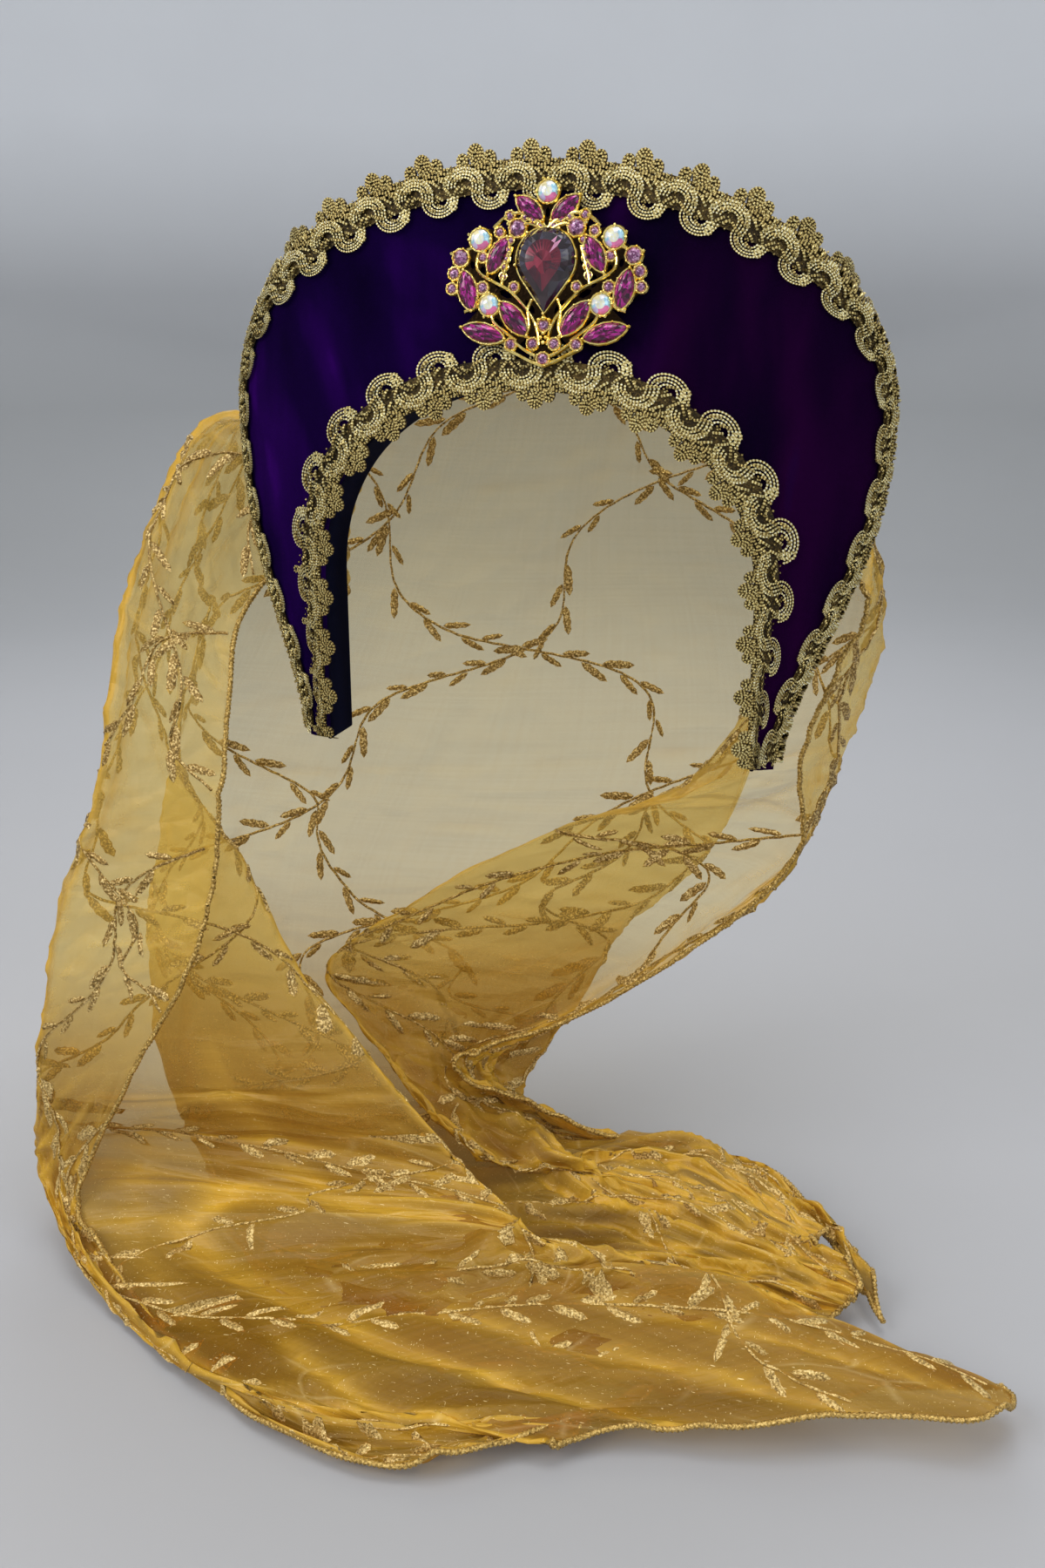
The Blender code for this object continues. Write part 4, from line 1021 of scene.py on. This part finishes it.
def wirePoints(path, level, radius, sides=6, closed=False):
    # a round wire through the points of a path, on the brooch's own plane
    path = np.asarray(path, dtype=float)
    if not closed and len(path) > 2:
        dense = []
        padded = np.vstack([2 * path[0] - path[1], path, 2 * path[-1] - path[-2]])
        for k in range(len(path) - 1):
            a, b, c, d = padded[k:k + 4]
            for t in np.linspace(0, 1, 7)[:-1]:
                dense.append(0.5 * (2 * b + (c - a) * t + (2 * a - 5 * b + 4 * c - d) * t ** 2
                                    + (-a + 3 * b - 3 * c + d) * t ** 3))
        path = np.array(dense + [path[-1]])
    count = len(path)
    after = np.roll(path, -1, axis=0) if closed else np.vstack([path[1:], 2 * path[-1] - path[-2]])
    before = np.roll(path, 1, axis=0) if closed else np.vstack([2 * path[0] - path[1], path[:-1]])
    ahead = unit(after - before)
    side = np.column_stack([-ahead[:, 1], ahead[:, 0], np.zeros(count)])
    line = np.column_stack([path, np.full(count, level)])
    points = tubePoints(line, side, np.array([[0.0, 0.0, 1.0]]), [np.full(count, radius)] * sides)
    return points, tubeFaces(count, sides, closed)


def ballPoints(x, z, level, radius):
    spokes = 7
    points, faces = [(x, z, level + radius)], []
    for ring in range(1, 4):
        angle = math.pi * ring / 4
        for k in range(spokes):
            turn = 2 * math.pi * k / spokes
            points.append((x + radius * math.sin(angle) * math.cos(turn),
                           z + radius * math.sin(angle) * math.sin(turn), level + radius * math.cos(angle)))
    points.append((x, z, level - radius))
    a, b, c = 1, 1 + spokes, 1 + 2 * spokes
    for k in range(spokes):
        n = (k + 1) % spokes
        faces += [(0, a + k, a + n), (a + k, b + k, b + n, a + n), (b + k, c + k, c + n, b + n),
                  (1 + 3 * spokes, c + n, c + k)]
    return points, faces


def stoneProngs(rim, middle, crown, finish):
    # ball prongs round a stone, and two more on a marquise
    count = len(rim)
    away = (rim - middle) / np.linalg.norm(rim - middle, axis=1)[:, None]
    size = 0.45 if finish == "amethyst" else 0.62
    spots = range(0, count, max(1, count // 4))
    if finish == "fuchsia":
        spots = [0, count // 2]
    if finish == "garnet":
        spots = [3, 8, 13, 18, count - 2]
    level = brooch["plateTop"]
    balls = [(*(rim[k] + away[k] * (0.15 + size * 0.6)), level + 0.35 * crown + 0.35, size) for k in spots]
    if finish == "fuchsia":
        balls += [(*(rim[k] + away[k] * 0.55), level + 0.7, 0.42)
                  for k in (count // 4 - 1, 3 * count // 4 + 1)]
    return [ballPoints(*ball) for ball in balls]


def makeBrooch():
    parts = []
    level = brooch["plateTop"]
    for node, outline, centre, crown, finish in stonePlan():
        cutStone("cut_" + node, outline, centre, crown, finish, node)
        rim, middle = np.array(outline), np.array(centre)
        grown = rim + (rim - middle) / np.linalg.norm(rim - middle, axis=1)[:, None] * 0.42
        parts += [wirePoints(grown, level + rise, radius, closed=True)
                  for rise, radius in brooch["bezelWires"]]
        parts += stoneProngs(rim, middle, crown, finish)
    for path in brooch["wires"]:
        for side, _ in bothWays:
            moved = [(side * x, z) for x, z in path]
            parts += [wirePoints(moved, level + rise, radius, 7) for rise, radius in brooch["scrollWires"]]
    parts += [ballPoints(x, z, level + 0.6, radius) for x, z, radius in brooch["balls"]]
    for x, z in brooch["pave"]:
        for side, _ in bothWays:
            bezel = roundOutline(side * x, z, brooch["paveRadius"] + 0.3, 10)
            rise, radius = brooch["paveWire"]
            parts.append(wirePoints(bezel, level + rise, radius, 5, True))
    points, faces = joinParts(parts)
    finishPiece(meshPiece("broochWires", onBrooch(points), faces, True), gold, "yellow_gold", (), 50)
    for number, (x, z) in enumerate(brooch["pave"]):
        for side, word in bothWays:
            outline = roundOutline(side * x, z, brooch["paveRadius"], 8)
            cutStone(f"pave_{number}_{word}", outline, (side * x, z), 0.7, "amethyst", None)
    plate = bpy.data.objects["brooch_setting"]
    plate.data.materials.clear()
    plate.data.materials.append(goldPlate)


makeBrooch()
print("brooch")


# veil: one sheet of organza gathered behind the band

veil = {
    "seamY": 12.0, "turnY": 30.0, "seamShare": 0.73, "seamEase": 0.6, "turnEase": 2.0, "wall": 1.2,
    "width": 600.0, "length": 660.0, "across": 288, "down": 320,
    "gathers": 30, "gatherDepth": 1.5, "tailFolds": 6.0,
    "gold": (0.76, 0.53, 0.12), "amber": (0.64, 0.41, 0.07), "rich": (0.70, 0.40, 0.035),
    # the low colours and the low tint paint the cloth that lies in heaps darker, as painted shade of its
    # layers
    "glint": (0.98, 0.78, 0.36), "lowGold": (0.30, 0.14, 0.010), "tint": (0.985, 0.925, 0.68),
    "lowTint": (0.68, 0.44, 0.14), "lowFrom": -0.215, "lowTo": -0.325,  # heights in metres
    "alpha": 0.25, "weaveAlpha": 0.022, "foldAlpha": 0.52, "lowAlpha": 0.10,
    "cloudScale": 9.0, "mottleScale": 14.0, "sparkScale": 1900.0, "creaseScale": 39.0, "breakScale": 35.0,
    "weaveScale": 640.0,
    "notch": 13.0, "tipSwell": 17.0,
    "vineStep": 70.0, "leafStep": 9.6, "leafLength": 13.0, "leafWidth": 3.4,
    # thread colours: hanging, painted darker as shade; lying, painted lighter as lit from the front; and
    # shining, a painted glint
    "vineThread": ((0.34, 0.20, 0.042), (0.58, 0.37, 0.10), (0.92, 0.70, 0.30)),
    "hemThread": ((0.42, 0.25, 0.045), (0.52, 0.32, 0.07), (0.85, 0.60, 0.20)),
    "hemRadius": 1.0, "hemFrom": 0.06, "hemStep": 0.55, "hemWobble": 0.25, "vineRadius": 0.58,
    "vineEven": 2.8,
    "leafGaps": 0.07,  # the share of leaves that are left out
    # wrinkles: x and y of the cloth for the first axis, then for the second, salt, sharpness, height, base,
    # and how much they grow where the cloth lies
    "wrinkles": [
        (1 / 34, 0.35 / 60, 0, 1 / 210, 2.0, 3, 2.6, 0.7, -0.4),
        (1 / 70, -1 / 55, 1 / 160, 1 / 42, 7.0, 4, 1.5, 0.2, 0.0),
        (1 / 19, 1 / 38, -1 / 44, 1 / 24, 9.0, 3, 0.9, 0.0, 2.0),
        (1 / 31, -1 / 20, 1 / 60, 1 / 33, 31.0, 4, 0.8, 0.0, 2.25),
    ],
    # pleats along the cloth: places down it, places across it, reach, rise and weight
    "pleats": [
        ((505, 548, 562, 595, 612, 635, 662), (114, 101, 100, 100, 98, 100, 101), 9, 5.0, 0.30),
        ((575, 592, 607, 627, 662), (102, 107, 109, 113, 119), 6, 3.5, 0.24),
        ((545, 612, 632, 645, 662), (131, 122, 126, 134, 141), 6, 3.5, 0.22),
        ((585, 602, 625, 648), (96, 91, 83, 74), 7, 3.5, 0.26),
        ((430, 475, 520, 560, 600), (112, 103, 99, 93, 85), 24, 1.0, 0.12),
        ((395, 440, 500, 545), (118, 115, 117, 121), 7, 3.0, 0.16),
        ((530, 577, 607, 662), (343, 350, 366, 360), 9, 4.0, 0.22),
        ((540, 590, 662), (401, 396, 410), 10, 4.0, 0.20),
        ((520, 600, 662), (305, 309, 300), 9, 3.5, 0.20),
        ((545, 610, 662), (455, 462, 450), 10, 4.0, 0.20),
        ((300, 380, 470), (262, 250, 236), 10, 3.0, 0.10),
        ((90, 180, 300), (96, 88, 84), 8, 3.0, 0.10),
        ((60, 150, 260, 330), (522, 500, 470, 448), 9, 3.0, 0.08),
    ],
    "seamAt": [-1.0, -0.75, -0.5, -0.25, 0.0, 0.3, 0.55, 0.8, 1.0],
    # left hem, left turn, front ridge, tuck, back, right fold, upper fold, right turn, right hem
    "levels": {
        "nape": [(-104, 34, -66), (-148, 50, -15), (-152, 70, -21), (-134, 96, -12), (-46, 128, -8),
                 (56, 132, -12), (80, 108, -21), (104, 77, -38), (106, 42, -62)],
        "shoulder": [(-121, 8, -88), (-162, 18, -54), (-163, 44, -70), (-150, 82, -60), (-62, 139, -64),
                     (58, 141, -62), (79, 106, -59), (116, 70, -70), (115, 38, -74)],
        "crescentEnds": [(-118, -11, -114), (-165, -5, -90), (-168, 28, -112), (-163, 68, -106),
                         (-76, 130, -120), (68, 139, -114), (72, 104, -114), (117, 70, -104),
                         (105, 36, -102)],
        "belowBand": [(-115, -27, -144), (-171, -22, -149), (-157, 13, -152), (-176, 48, -156),
                      (-91, 110, -174), (65, 127, -167), (46, 92, -162), (108, 73, -144), (95, 43, -134)],
        "upperWaist": [(-118, -33, -181), (-183, -31, -189), (-123, -1, -184), (-180, 32, -199),
                       (-105, 87, -219), (41, 111, -213), (-6, 72, -184), (96, 75, -180), (92, 58, -183)],
        "waist": [(-123, -43, -210), (-193, -39, -232), (-96, -10, -222), (-179, 17, -242), (-106, 66, -263),
                  (15, 90, -235), (-68, 45, -215), (52, 74, -226), (45, 57, -234)],
        "lowerWaist": [(-150, -51, -260), (-198, -44, -277), (-49, -24, -263), (-168, 4, -289),
                       (-89, 50, -301), (-1, 77, -267), (-99, 26, -241), (8, 68, -262), (-7, 48, -268)],
        "aboveGround": [(-177, -54, -327), (-200, -44, -318), (-10, -34, -295), (-141, -11, -320),
                        (-81, 27, -324), (-22, 59, -311), (-74, 25, -280), (-34, 48, -293), (-45, 31, -282)],
        "landing": [(-138, -82, -339), (-171, -70, -335), (25, -57, -303), (-75, -76, -333), (-31, -10, -330),
                    (12, 23, -317), (-24, 13, -313), (0, 58, -323), (21, 47, -320)],
        "spread": [(-7, -137, -339), (-65, -121, -333), (75, -50, -309), (8, -90, -335), (42, -14, -333),
                   (66, 8, -323), (46, 38, -316), (77, 55, -323), (89, 53, -327)],
        "freeEnd": [(67, -81, -339), (40, -116, -336), (183, -47, -331), (109, -60, -338), (124, -16, -335),
                    (131, -11, -330), (111, 15, -329), (121, 22, -334), (141, -14, -338)],
    },
}


def slopeAt(before, here, after, span):
    near = np.linalg.norm(here - before, axis=-1, keepdims=True) + 1e-9
    far = np.linalg.norm(after - here, axis=-1, keepdims=True) + 1e-9
    return ((here - before) / near * far + (after - here) / far * near) / (near + far) * span


def easeThrough(points, places):
    # points (count, ..., 3), places a list of real indexes: a smooth curve through them
    last = len(points) - 1
    result = []
    for place in places:
        index = min(int(place), last - 1)
        part = place - index
        one, two = points[index], points[index + 1]
        span = np.linalg.norm(two - one, axis=-1, keepdims=True)
        before = points[index - 1] if index > 0 else one * 2 - two
        after = points[index + 2] if index < last - 1 else two * 2 - one
        slopeOne = slopeAt(before, one, two, span)
        slopeTwo = slopeAt(one, two, after, span)
        result.append(one * (2 * part ** 3 - 3 * part ** 2 + 1)
                      + slopeOne * (part ** 3 - 2 * part ** 2 + part)
                      + two * (3 * part ** 2 - 2 * part ** 3) + slopeTwo * (part ** 3 - part ** 2))
    return np.array(result)


def seamRow(places, y, offset):
    outline = Edge(bothSides(halfArch(hood["bandWall"] + 0.35 + veil["wall"] / 2 + offset)))
    spot = outline.locate(places * veil["seamShare"] * outline.half)
    return np.stack([spot[:, 0], np.full(len(places), y), spot[:, 1]], -1)


def veilNet():
    # the sheet's smooth points over a fine grid, rows down the sheet and columns across it
    folds = np.linspace(0, len(veil["seamAt"]) - 1, veil["across"] + 1)
    places = np.interp(folds, np.arange(len(veil["seamAt"])), veil["seamAt"])
    rows = [seamRow(places, veil["seamY"], veil["seamEase"]),
            seamRow(places, veil["turnY"], veil["turnEase"])]
    for level in veil["levels"].values():
        rows.append(easeThrough(np.array(level, dtype=float), folds))
    rows = np.array(rows)
    return easeThrough(rows, np.linspace(0, len(rows) - 1, veil["down"] + 1))


def netNormals(net):
    return unit(np.cross(np.gradient(net, axis=1), np.gradient(net, axis=0)))


def pleatShape(x, y):
    # how far each pleat lifts the cloth, and how much denser its turned edge looks, falling off to one side
    # as the pleat's painted shade
    lift, dense = np.zeros(x.shape), np.zeros(x.shape)
    for places, across, reach, rise, weight in veil["pleats"]:
        away = x - np.interp(y, places, across)
        fade = np.clip((y - places[0]) / 22, 0, 1) * np.clip((places[-1] - y) / 22 + (places[-1] > 655), 0, 1)
        roll = np.where(away > 0, np.exp(-(away / reach) ** 2), np.exp(-(away / 1.8) ** 2))
        lift += rise * roll * fade
        dense += weight * fade * np.where(away > 0, 0.45 * np.exp(-away / (1.4 * reach)), 0)
        dense += weight * fade * np.exp(-(away / 2.2) ** 2)
    return lift, dense


def clothPlaces(down, across):
    # how far each point of the net is down and across the cloth, from 0 to 1
    return np.meshgrid(np.linspace(0, 1, down), np.linspace(0, 1, across), indexing="ij")


def wrinkledNet():
    net = veilNet()
    normal = netNormals(net)
    v, u = clothPlaces(*net.shape[:2])
    x, y = u * veil["width"], v * veil["length"]
    free = np.clip((v - 0.05) / 0.12, 0, 1)
    low = np.clip((v - 0.66) / 0.14, 0, 1)
    gather = np.cos(2 * math.pi * veil["gathers"] * u + 2.2 * valueNoise(u * 9, v * 4, 4.0))
    lift = veil["gatherDepth"] * gather * np.clip(1 - v / 0.20, 0, 1) * np.clip(v / 0.03, 0.15, 1)
    for xx, xy, yx, yy, salt, power, height, base, gain in veil["wrinkles"]:
        crests = ridges(x * xx + y * xy, x * yx + y * yy, salt, power)
        lift += (height * crests - base) * (1 + gain * low) * free
    lift += 0.35 * valueNoise(x / 7, y / 7, 12.0) * free
    lift += pleatShape(x, y)[0]
    net = net + normal * lift[..., None]
    net[..., 2] += veil["tailFolds"] * ridges(x / 26 + 2.0, y / 190 + 3.0, 21.0, 2) * low
    net[..., 2] += veil["tailFolds"] / 2 * ridges(x / 30 - y / 30, y / 55, 23.0, 3) * low
    # the free end: a notch beside the lying fold and a fuller, rounder tip
    end = np.clip((v - 0.86) / 0.14, 0, 1) ** 2
    part = np.clip((u - 0.125) / 0.125, 0, 1)
    push = veil["notch"] * np.exp(-((part - 0.26) / 0.16) ** 2)
    push -= veil["tipSwell"] * np.exp(-((part - 0.80) / 0.15) ** 2)
    net[..., 0] += -0.2756 * push * end
    net[..., 1] += 0.9613 * push * end
    net[..., 2] = np.maximum(net[..., 2], view["floorLevel"] + 1.5)
    return net


class Sheet:
    # reads the wrinkled net between its points
    def __init__(self, net):
        self.net = net
        self.normal = netNormals(net)
        self.down, self.across = net.shape[0] - 1, net.shape[1] - 1

    def read(self, grid, u, v):
        x = np.clip(u, 0, 1) * self.across
        y = np.clip(v, 0, 1) * self.down
        xi = np.minimum(x.astype(int), self.across - 1)
        yi = np.minimum(y.astype(int), self.down - 1)
        xf, yf = (x - xi)[..., None], (y - yi)[..., None]
        low = grid[yi, xi] * (1 - xf) + grid[yi, xi + 1] * xf
        high = grid[yi + 1, xi] * (1 - xf) + grid[yi + 1, xi + 1] * xf
        return low * (1 - yf) + high * yf

    def point(self, u, v, lift=0.0):
        return self.read(self.net, u, v) + unit(self.read(self.normal, u, v)) * lift


def lowerShare(recipe, where):
    # 0 on the hanging cloth, 1 on the cloth that lies in heaps
    return recipe.span(recipe.axis(where, "Z"), veil["lowFrom"], veil["lowTo"])


def paintedClothGlints(recipe, where, cloth, cells, low):
    # painted glints: short bright threads and broken bright crease lines, mostly where the cloth is crumpled
    streaks = [recipe.noise(where, veil["sparkScale"], 1.0, stretch, turn) for stretch, turn in
               (((1.0, 0.16, 1.0), (0.5, 0.3, 0.7)), ((0.16, 1.0, 1.0), (-0.4, 0.6, -0.5)))]
    spark = recipe.ramp(recipe.math("MAXIMUM", *streaks), greys((0.71, 0), (0.785, 1)))
    line = recipe.ramp(cells, greys((0.0, 1), (0.045, 0)))
    breaks = recipe.ramp(recipe.noise(cloth, veil["breakScale"], 2.0, flat=True), greys((0.50, 0), (0.62, 1)))
    crease = recipe.math("MULTIPLY", recipe.math("MULTIPLY", line, breaks), 0.26)
    strength = recipe.math("ADD", recipe.math("MULTIPLY", low, 0.78), 0.16)
    return recipe.math("MULTIPLY", recipe.math("MAXIMUM", spark, crease), strength, clamp=True)


def organzaMaterial():
    # a sheer tinted cloth, denser on its folds, over a coloured clear layer; painted darker where it lies in
    # heaps and deeper amber on its folds, as painted shade, with painted glints
    recipe = Recipe("goldOrganza")
    where, cloth = recipe.space(), recipe.flatCloth()
    density = recipe.attribute("foldDensityAndShade")
    low = lowerShare(recipe, where)
    cloud = recipe.noise(cloth, veil["cloudScale"], 3.0, flat=True)
    patchy = recipe.ramp(recipe.noise(cloth, veil["mottleScale"], 3.0, flat=True),
                         greys((0.36, 0.55), (0.62, 1.0)))
    body = recipe.ramp(cloud, [(0.3, veil["amber"]), (0.7, veil["gold"])])
    # the heaped cloth painted darker in patches, as painted shade
    body = recipe.mix(recipe.math("MULTIPLY", low, patchy), body, veil["lowGold"])
    # the density paints folds, heaps and pleats deeper amber, as painted shade
    body = recipe.mix(recipe.math("MULTIPLY", density, 1.7, clamp=True), body, veil["rich"])
    push = recipe.noise(cloth, 12.6, 1.0, flat=True, output="Color")
    shift = recipe.vector("MULTIPLY_ADD", push, (0.03, 0.03, 0.03), cloth).outputs["Vector"]
    cells = recipe.add("TexVoronoi", voronoi_dimensions="2D", feature="DISTANCE_TO_EDGE")
    cells = recipe.feed(cells, {"Vector": shift, "Scale": veil["creaseScale"]}).outputs["Distance"]
    shine = paintedClothGlints(recipe, where, cloth, cells, low)
    weave = recipe.math("ADD", *[recipe.noise(cloth, veil["weaveScale"], 1.0, stretch, flat=True)
                                 for stretch in ((1.0, 0.02, 1.0), (0.02, 1.0, 1.0))])
    cover = recipe.span(weave, 0.75, 1.25, veil["alpha"] - veil["weaveAlpha"],
                        veil["alpha"] + veil["weaveAlpha"])
    thicker = recipe.math("ADD", cover, density)
    thicker = recipe.math("ADD", thicker, recipe.math("MULTIPLY", shine, 0.30), clamp=True)
    clear = recipe.feed(recipe.add("BsdfTransparent"),
                        # the clear layer's tint darkens where the cloth lies low, as painted shade
                        {"Color": recipe.mix(low, veil["tint"], veil["lowTint"])})
    # the painted glints lighten the colour towards the glint colour
    recipe.surface({"Base Color": recipe.mix(shine, body, veil["glint"]), "Roughness": 0.36,
                    "Specular IOR Level": 0.35, "Sheen Weight": 0.25, "Sheen Roughness": 0.35,
                    "Sheen Tint": (1.0, 0.74, 0.24)})
    fold = recipe.ramp(cells, greys((0.0, 0), (0.25, 1)))
    recipe.bump([(fold, 1.0), (cloud, 0.8), (weave, 0.3)], 0.5, 0.0016)
    sheer = recipe.add("MixShader")
    recipe.feed(sheer, {"Fac": thicker, 1: clear.outputs["BSDF"], 2: recipe.shader.outputs["BSDF"]})
    recipe.feed(recipe.nodes["Material Output"], {"Surface": sheer.outputs["Shader"]})
    return recipe.material


def embroideryMaterial(name):
    recipe = Recipe(name)
    where = recipe.space()
    hanging, lying, shine = veil[name]
    # specks run from painted shade through the thread's colour to a painted glint, and lying thread is
    # painted lighter
    speck = recipe.noise(where, 1200.0, 3.0)
    ramps = [recipe.ramp(speck, [(0.35, tuple(c * 0.42 for c in colour)), (0.50, colour), (0.66, shine)])
             for colour in (hanging, lying)]
    recipe.surface({"Base Color": recipe.mix(lowerShare(recipe, where), *ramps), "Metallic": 0.45,
                    "Roughness": 0.36})
    recipe.bump([(recipe.noise(where, 1700.0, 2.0), 1.0)], 0.8, 0.0006)
    return recipe.material


def clothDensity(sheet):
    # denser where the cloth bends sharply, where it lies and along its pleats, which stands for layers seen
    # edge on and overlapped; the material also paints these places deeper amber as their shade
    net = sheet.net
    bend = np.zeros(net.shape[:2])
    for axis in (0, 1):
        turn = np.linalg.norm(np.gradient(sheet.normal, axis=axis), axis=-1)
        span = np.linalg.norm(np.gradient(net, axis=axis), axis=-1) + 0.3
        bend = np.maximum(bend, turn / span)
    for _ in range(2):
        bend[1:-1, 1:-1] = (bend[1:-1, 1:-1] * 2 + bend[:-2, 1:-1] + bend[2:, 1:-1]
                            + bend[1:-1, :-2] + bend[1:-1, 2:]) / 6
    v, u = clothPlaces(*net.shape[:2])
    folds, lying = np.clip(bend / 0.30 - 0.12, 0, 1), np.clip((v - 0.62) / 0.2, 0, 1)
    density = veil["foldAlpha"] * folds + veil["lowAlpha"] * lying
    return density + pleatShape(u * veil["width"], v * veil["length"])[1]


def makeVeil(sheet):
    def placer(u, v):
        return sheet.net[np.rint((1 - v) * sheet.down).astype(int), np.rint(u * sheet.across).astype(int)]

    piece = gridPiece("veilOrganza", veil["across"], veil["down"], placer)
    turnFacesTo(piece, (0, -1, 0))
    attribute = piece.data.attributes.new("foldDensityAndShade", "FLOAT", "POINT")
    attribute.data.foreach_set("value", clothDensity(sheet)[::-1].ravel())
    finishPiece(piece, organzaMaterial(), "gold_organza", ("veil",), 180)
    return piece


def tubeAlong(line, radius, sides, wobble):
    # a thread whose girth swells along it, like a twisted one
    ahead = unit(np.gradient(line, axis=0))
    side = unit(np.cross(ahead, (0.13, 0.31, 0.94)))
    places = pathLengths(line) * 2 * math.pi / 1.7
    girths = [radius * (1 + wobble * np.sin(places + 2 * math.pi * k / sides)) for k in range(sides)]
    return tubePoints(line, side, np.cross(ahead, side), girths), tubeFaces(len(line), sides)


def evenPath(path, step):
    lengths = pathLengths(path)
    return atPlaces(path, lengths, np.linspace(0, lengths[-1], max(4, int(lengths[-1] / step))))


def makeHem(sheet):
    down, across = np.linspace(veil["hemFrom"], 1, 600), np.linspace(0, 1, 500)
    left, bottom = np.column_stack([0 * down, down]), np.column_stack([across, 0 * across + 1])
    right = np.column_stack([0 * down + 1, down[::-1]])
    route = np.vstack([left, bottom[1:], right[1:]])
    line = sheet.point(route[:, 0], route[:, 1])
    line[:, 2] = np.maximum(line[:, 2], view["floorLevel"] + 1.6)
    tube = tubeAlong(evenPath(line, veil["hemStep"]), veil["hemRadius"], 6, veil["hemWobble"])
    piece = meshPiece("veilHem", *tube, True)
    finishPiece(piece, embroideryMaterial("hemThread"), "gold_organza", (), 60)
    return piece


def vinePaths():
    # wandering vines both ways over the flat cloth, in millimetres
    width, length, step = veil["width"], veil["length"], veil["vineStep"]
    paths = []
    for start in np.arange(-length, width + length, step * 1.3):
        for way in (-1, 1):
            number = len(paths) + 1
            t = np.arange(0, length * 1.02, 3.0)
            bend = 8.5 * np.sin(t / 13.5 + number * 1.7) + 9 * np.sin(t / 37 + number)
            x = (start if way > 0 else start + 24) + way * t * 0.66 + bend
            paths.append(np.column_stack([x, t + 6 * np.sin(t / 16 + number * 2.3)]))
    return paths


def leafRows(carry):
    # a plump stitched sprig: a few satin-stitch swells from stalk to tip
    length, half = veil["leafLength"], veil["leafWidth"] / 2
    rows = [carry(0.3, 0.0, 0.2)]
    for share, breadth in ((0.12, 0.55), (0.27, 0.95), (0.40, 0.78), (0.55, 1.0), (0.68, 0.76), (0.82, 0.82)):
        rows += [carry(length * share, half * breadth, 0.1), carry(length * share, 0.0, 1.1 * breadth),
                 carry(length * share, -half * breadth, 0.1), carry(length * share, 0.0, -0.75)]
    rows.append(carry(length, 0.0, 0.15))
    return rows


def stitchRuns():
    # the stretches of each vine that lie on the cloth
    width, length = veil["width"], veil["length"]
    for number, path in enumerate(vinePaths()):
        inside = (path[:, 0] > 3) & (path[:, 0] < width - 3) & (path[:, 1] > 30) & (path[:, 1] < length - 3)
        edges = np.flatnonzero(np.diff(np.concatenate([[0], inside.astype(int), [0]])))
        for first, last in zip(edges[::2], edges[1::2]):
            if last - first > 6:
                yield number, path[first:last]


def makeEmbroidery(sheet):
    width, length = veil["width"], veil["length"]
    parts, leaves = [], []
    for number, flat in stitchRuns():
        line = sheet.point(flat[:, 0] / width, flat[:, 1] / length, 0.25)
        lengths = pathLengths(line)
        parts.append(tubeAlong(evenPath(line, veil["vineEven"]), veil["vineRadius"], 4, veil["hemWobble"]))
        sign = 1
        for place in np.arange(5.0, lengths[-1] - 9.0, veil["leafStep"]):
            if hash01(place + number * 7.0, 6.0) < veil["leafGaps"]:
                continue
            sign = -sign
            spot, ahead = atPlaces(flat, lengths, np.array([place, place + 2]))
            leaves.append((*spot, *(ahead - spot), sign))
    x, y, wayX, wayY, signs = np.array(leaves).T
    count = np.arange(len(leaves))
    u, v = x / width, y / length
    h = 0.004
    du = (sheet.point(u + h, v) - sheet.point(u - h, v)) / (2 * h)
    dv = (sheet.point(u, v + h) - sheet.point(u, v - h)) / (2 * h)
    ahead = unit(du * (wayX / width)[:, None] + dv * (wayY / length)[:, None])
    normal = unit(np.cross(du, dv))
    lean = np.radians(9 + 20 * hash01(count, 8.0)) * signs
    along = ahead * np.cos(lean)[:, None] + np.cross(normal, ahead) * np.sin(lean)[:, None]
    over = np.cross(normal, along)
    size = 0.72 + 0.5 * hash01(count, 5.0)
    guu, guv, gvv = (du * du).sum(1), (du * dv).sum(1), (dv * dv).sum(1)
    det = guu * gvv - guv ** 2 + 1e-6

    def carry(a, b, lift):
        # a step on the sheet, a along the leaf and b across it, read back through the sheet
        move = along * (a * size)[:, None] + over * (b * size + 0.9 * signs)[:, None]
        mu, mv = (move * du).sum(1), (move * dv).sum(1)
        stepU, stepV = (mu * gvv - mv * guv) / det, (mv * guu - mu * guv) / det
        limit = np.maximum(1, np.maximum(np.abs(stepU) / 0.04, np.abs(stepV) / 0.04))
        return sheet.point(u + stepU / limit, v + stepV / limit, lift)

    rows = leafRows(carry)
    every = len(rows)
    faces = []
    for k in range(4):
        n = (k + 1) % 4
        faces += [(0, 1 + k, 1 + n), (every - 1, every - 5 + n, every - 5 + k)]
        faces += [(a + k, a + 4 + k, a + 4 + n, a + n) for a in range(1, every - 5, 4)]
    allFaces = [tuple(k + every * n for k in face) for n in range(len(leaves)) for face in faces]
    parts.append((np.stack(rows, 1).reshape(-1, 3), allFaces))
    solid, faces = joinParts(parts)
    solid[:, 2] = np.maximum(solid[:, 2], view["floorLevel"] + 0.6)
    piece = meshPiece("veilVines", solid, faces, True)
    finishPiece(piece, embroideryMaterial("vineThread"), "gold_organza", (), 60)
    print("vines", len(leaves), "leaves", len(faces), "faces")
    return piece


sheet = Sheet(wrinkledNet())
organza = makeVeil(sheet)
hem = makeHem(sheet)
vines = makeEmbroidery(sheet)
print("veil")
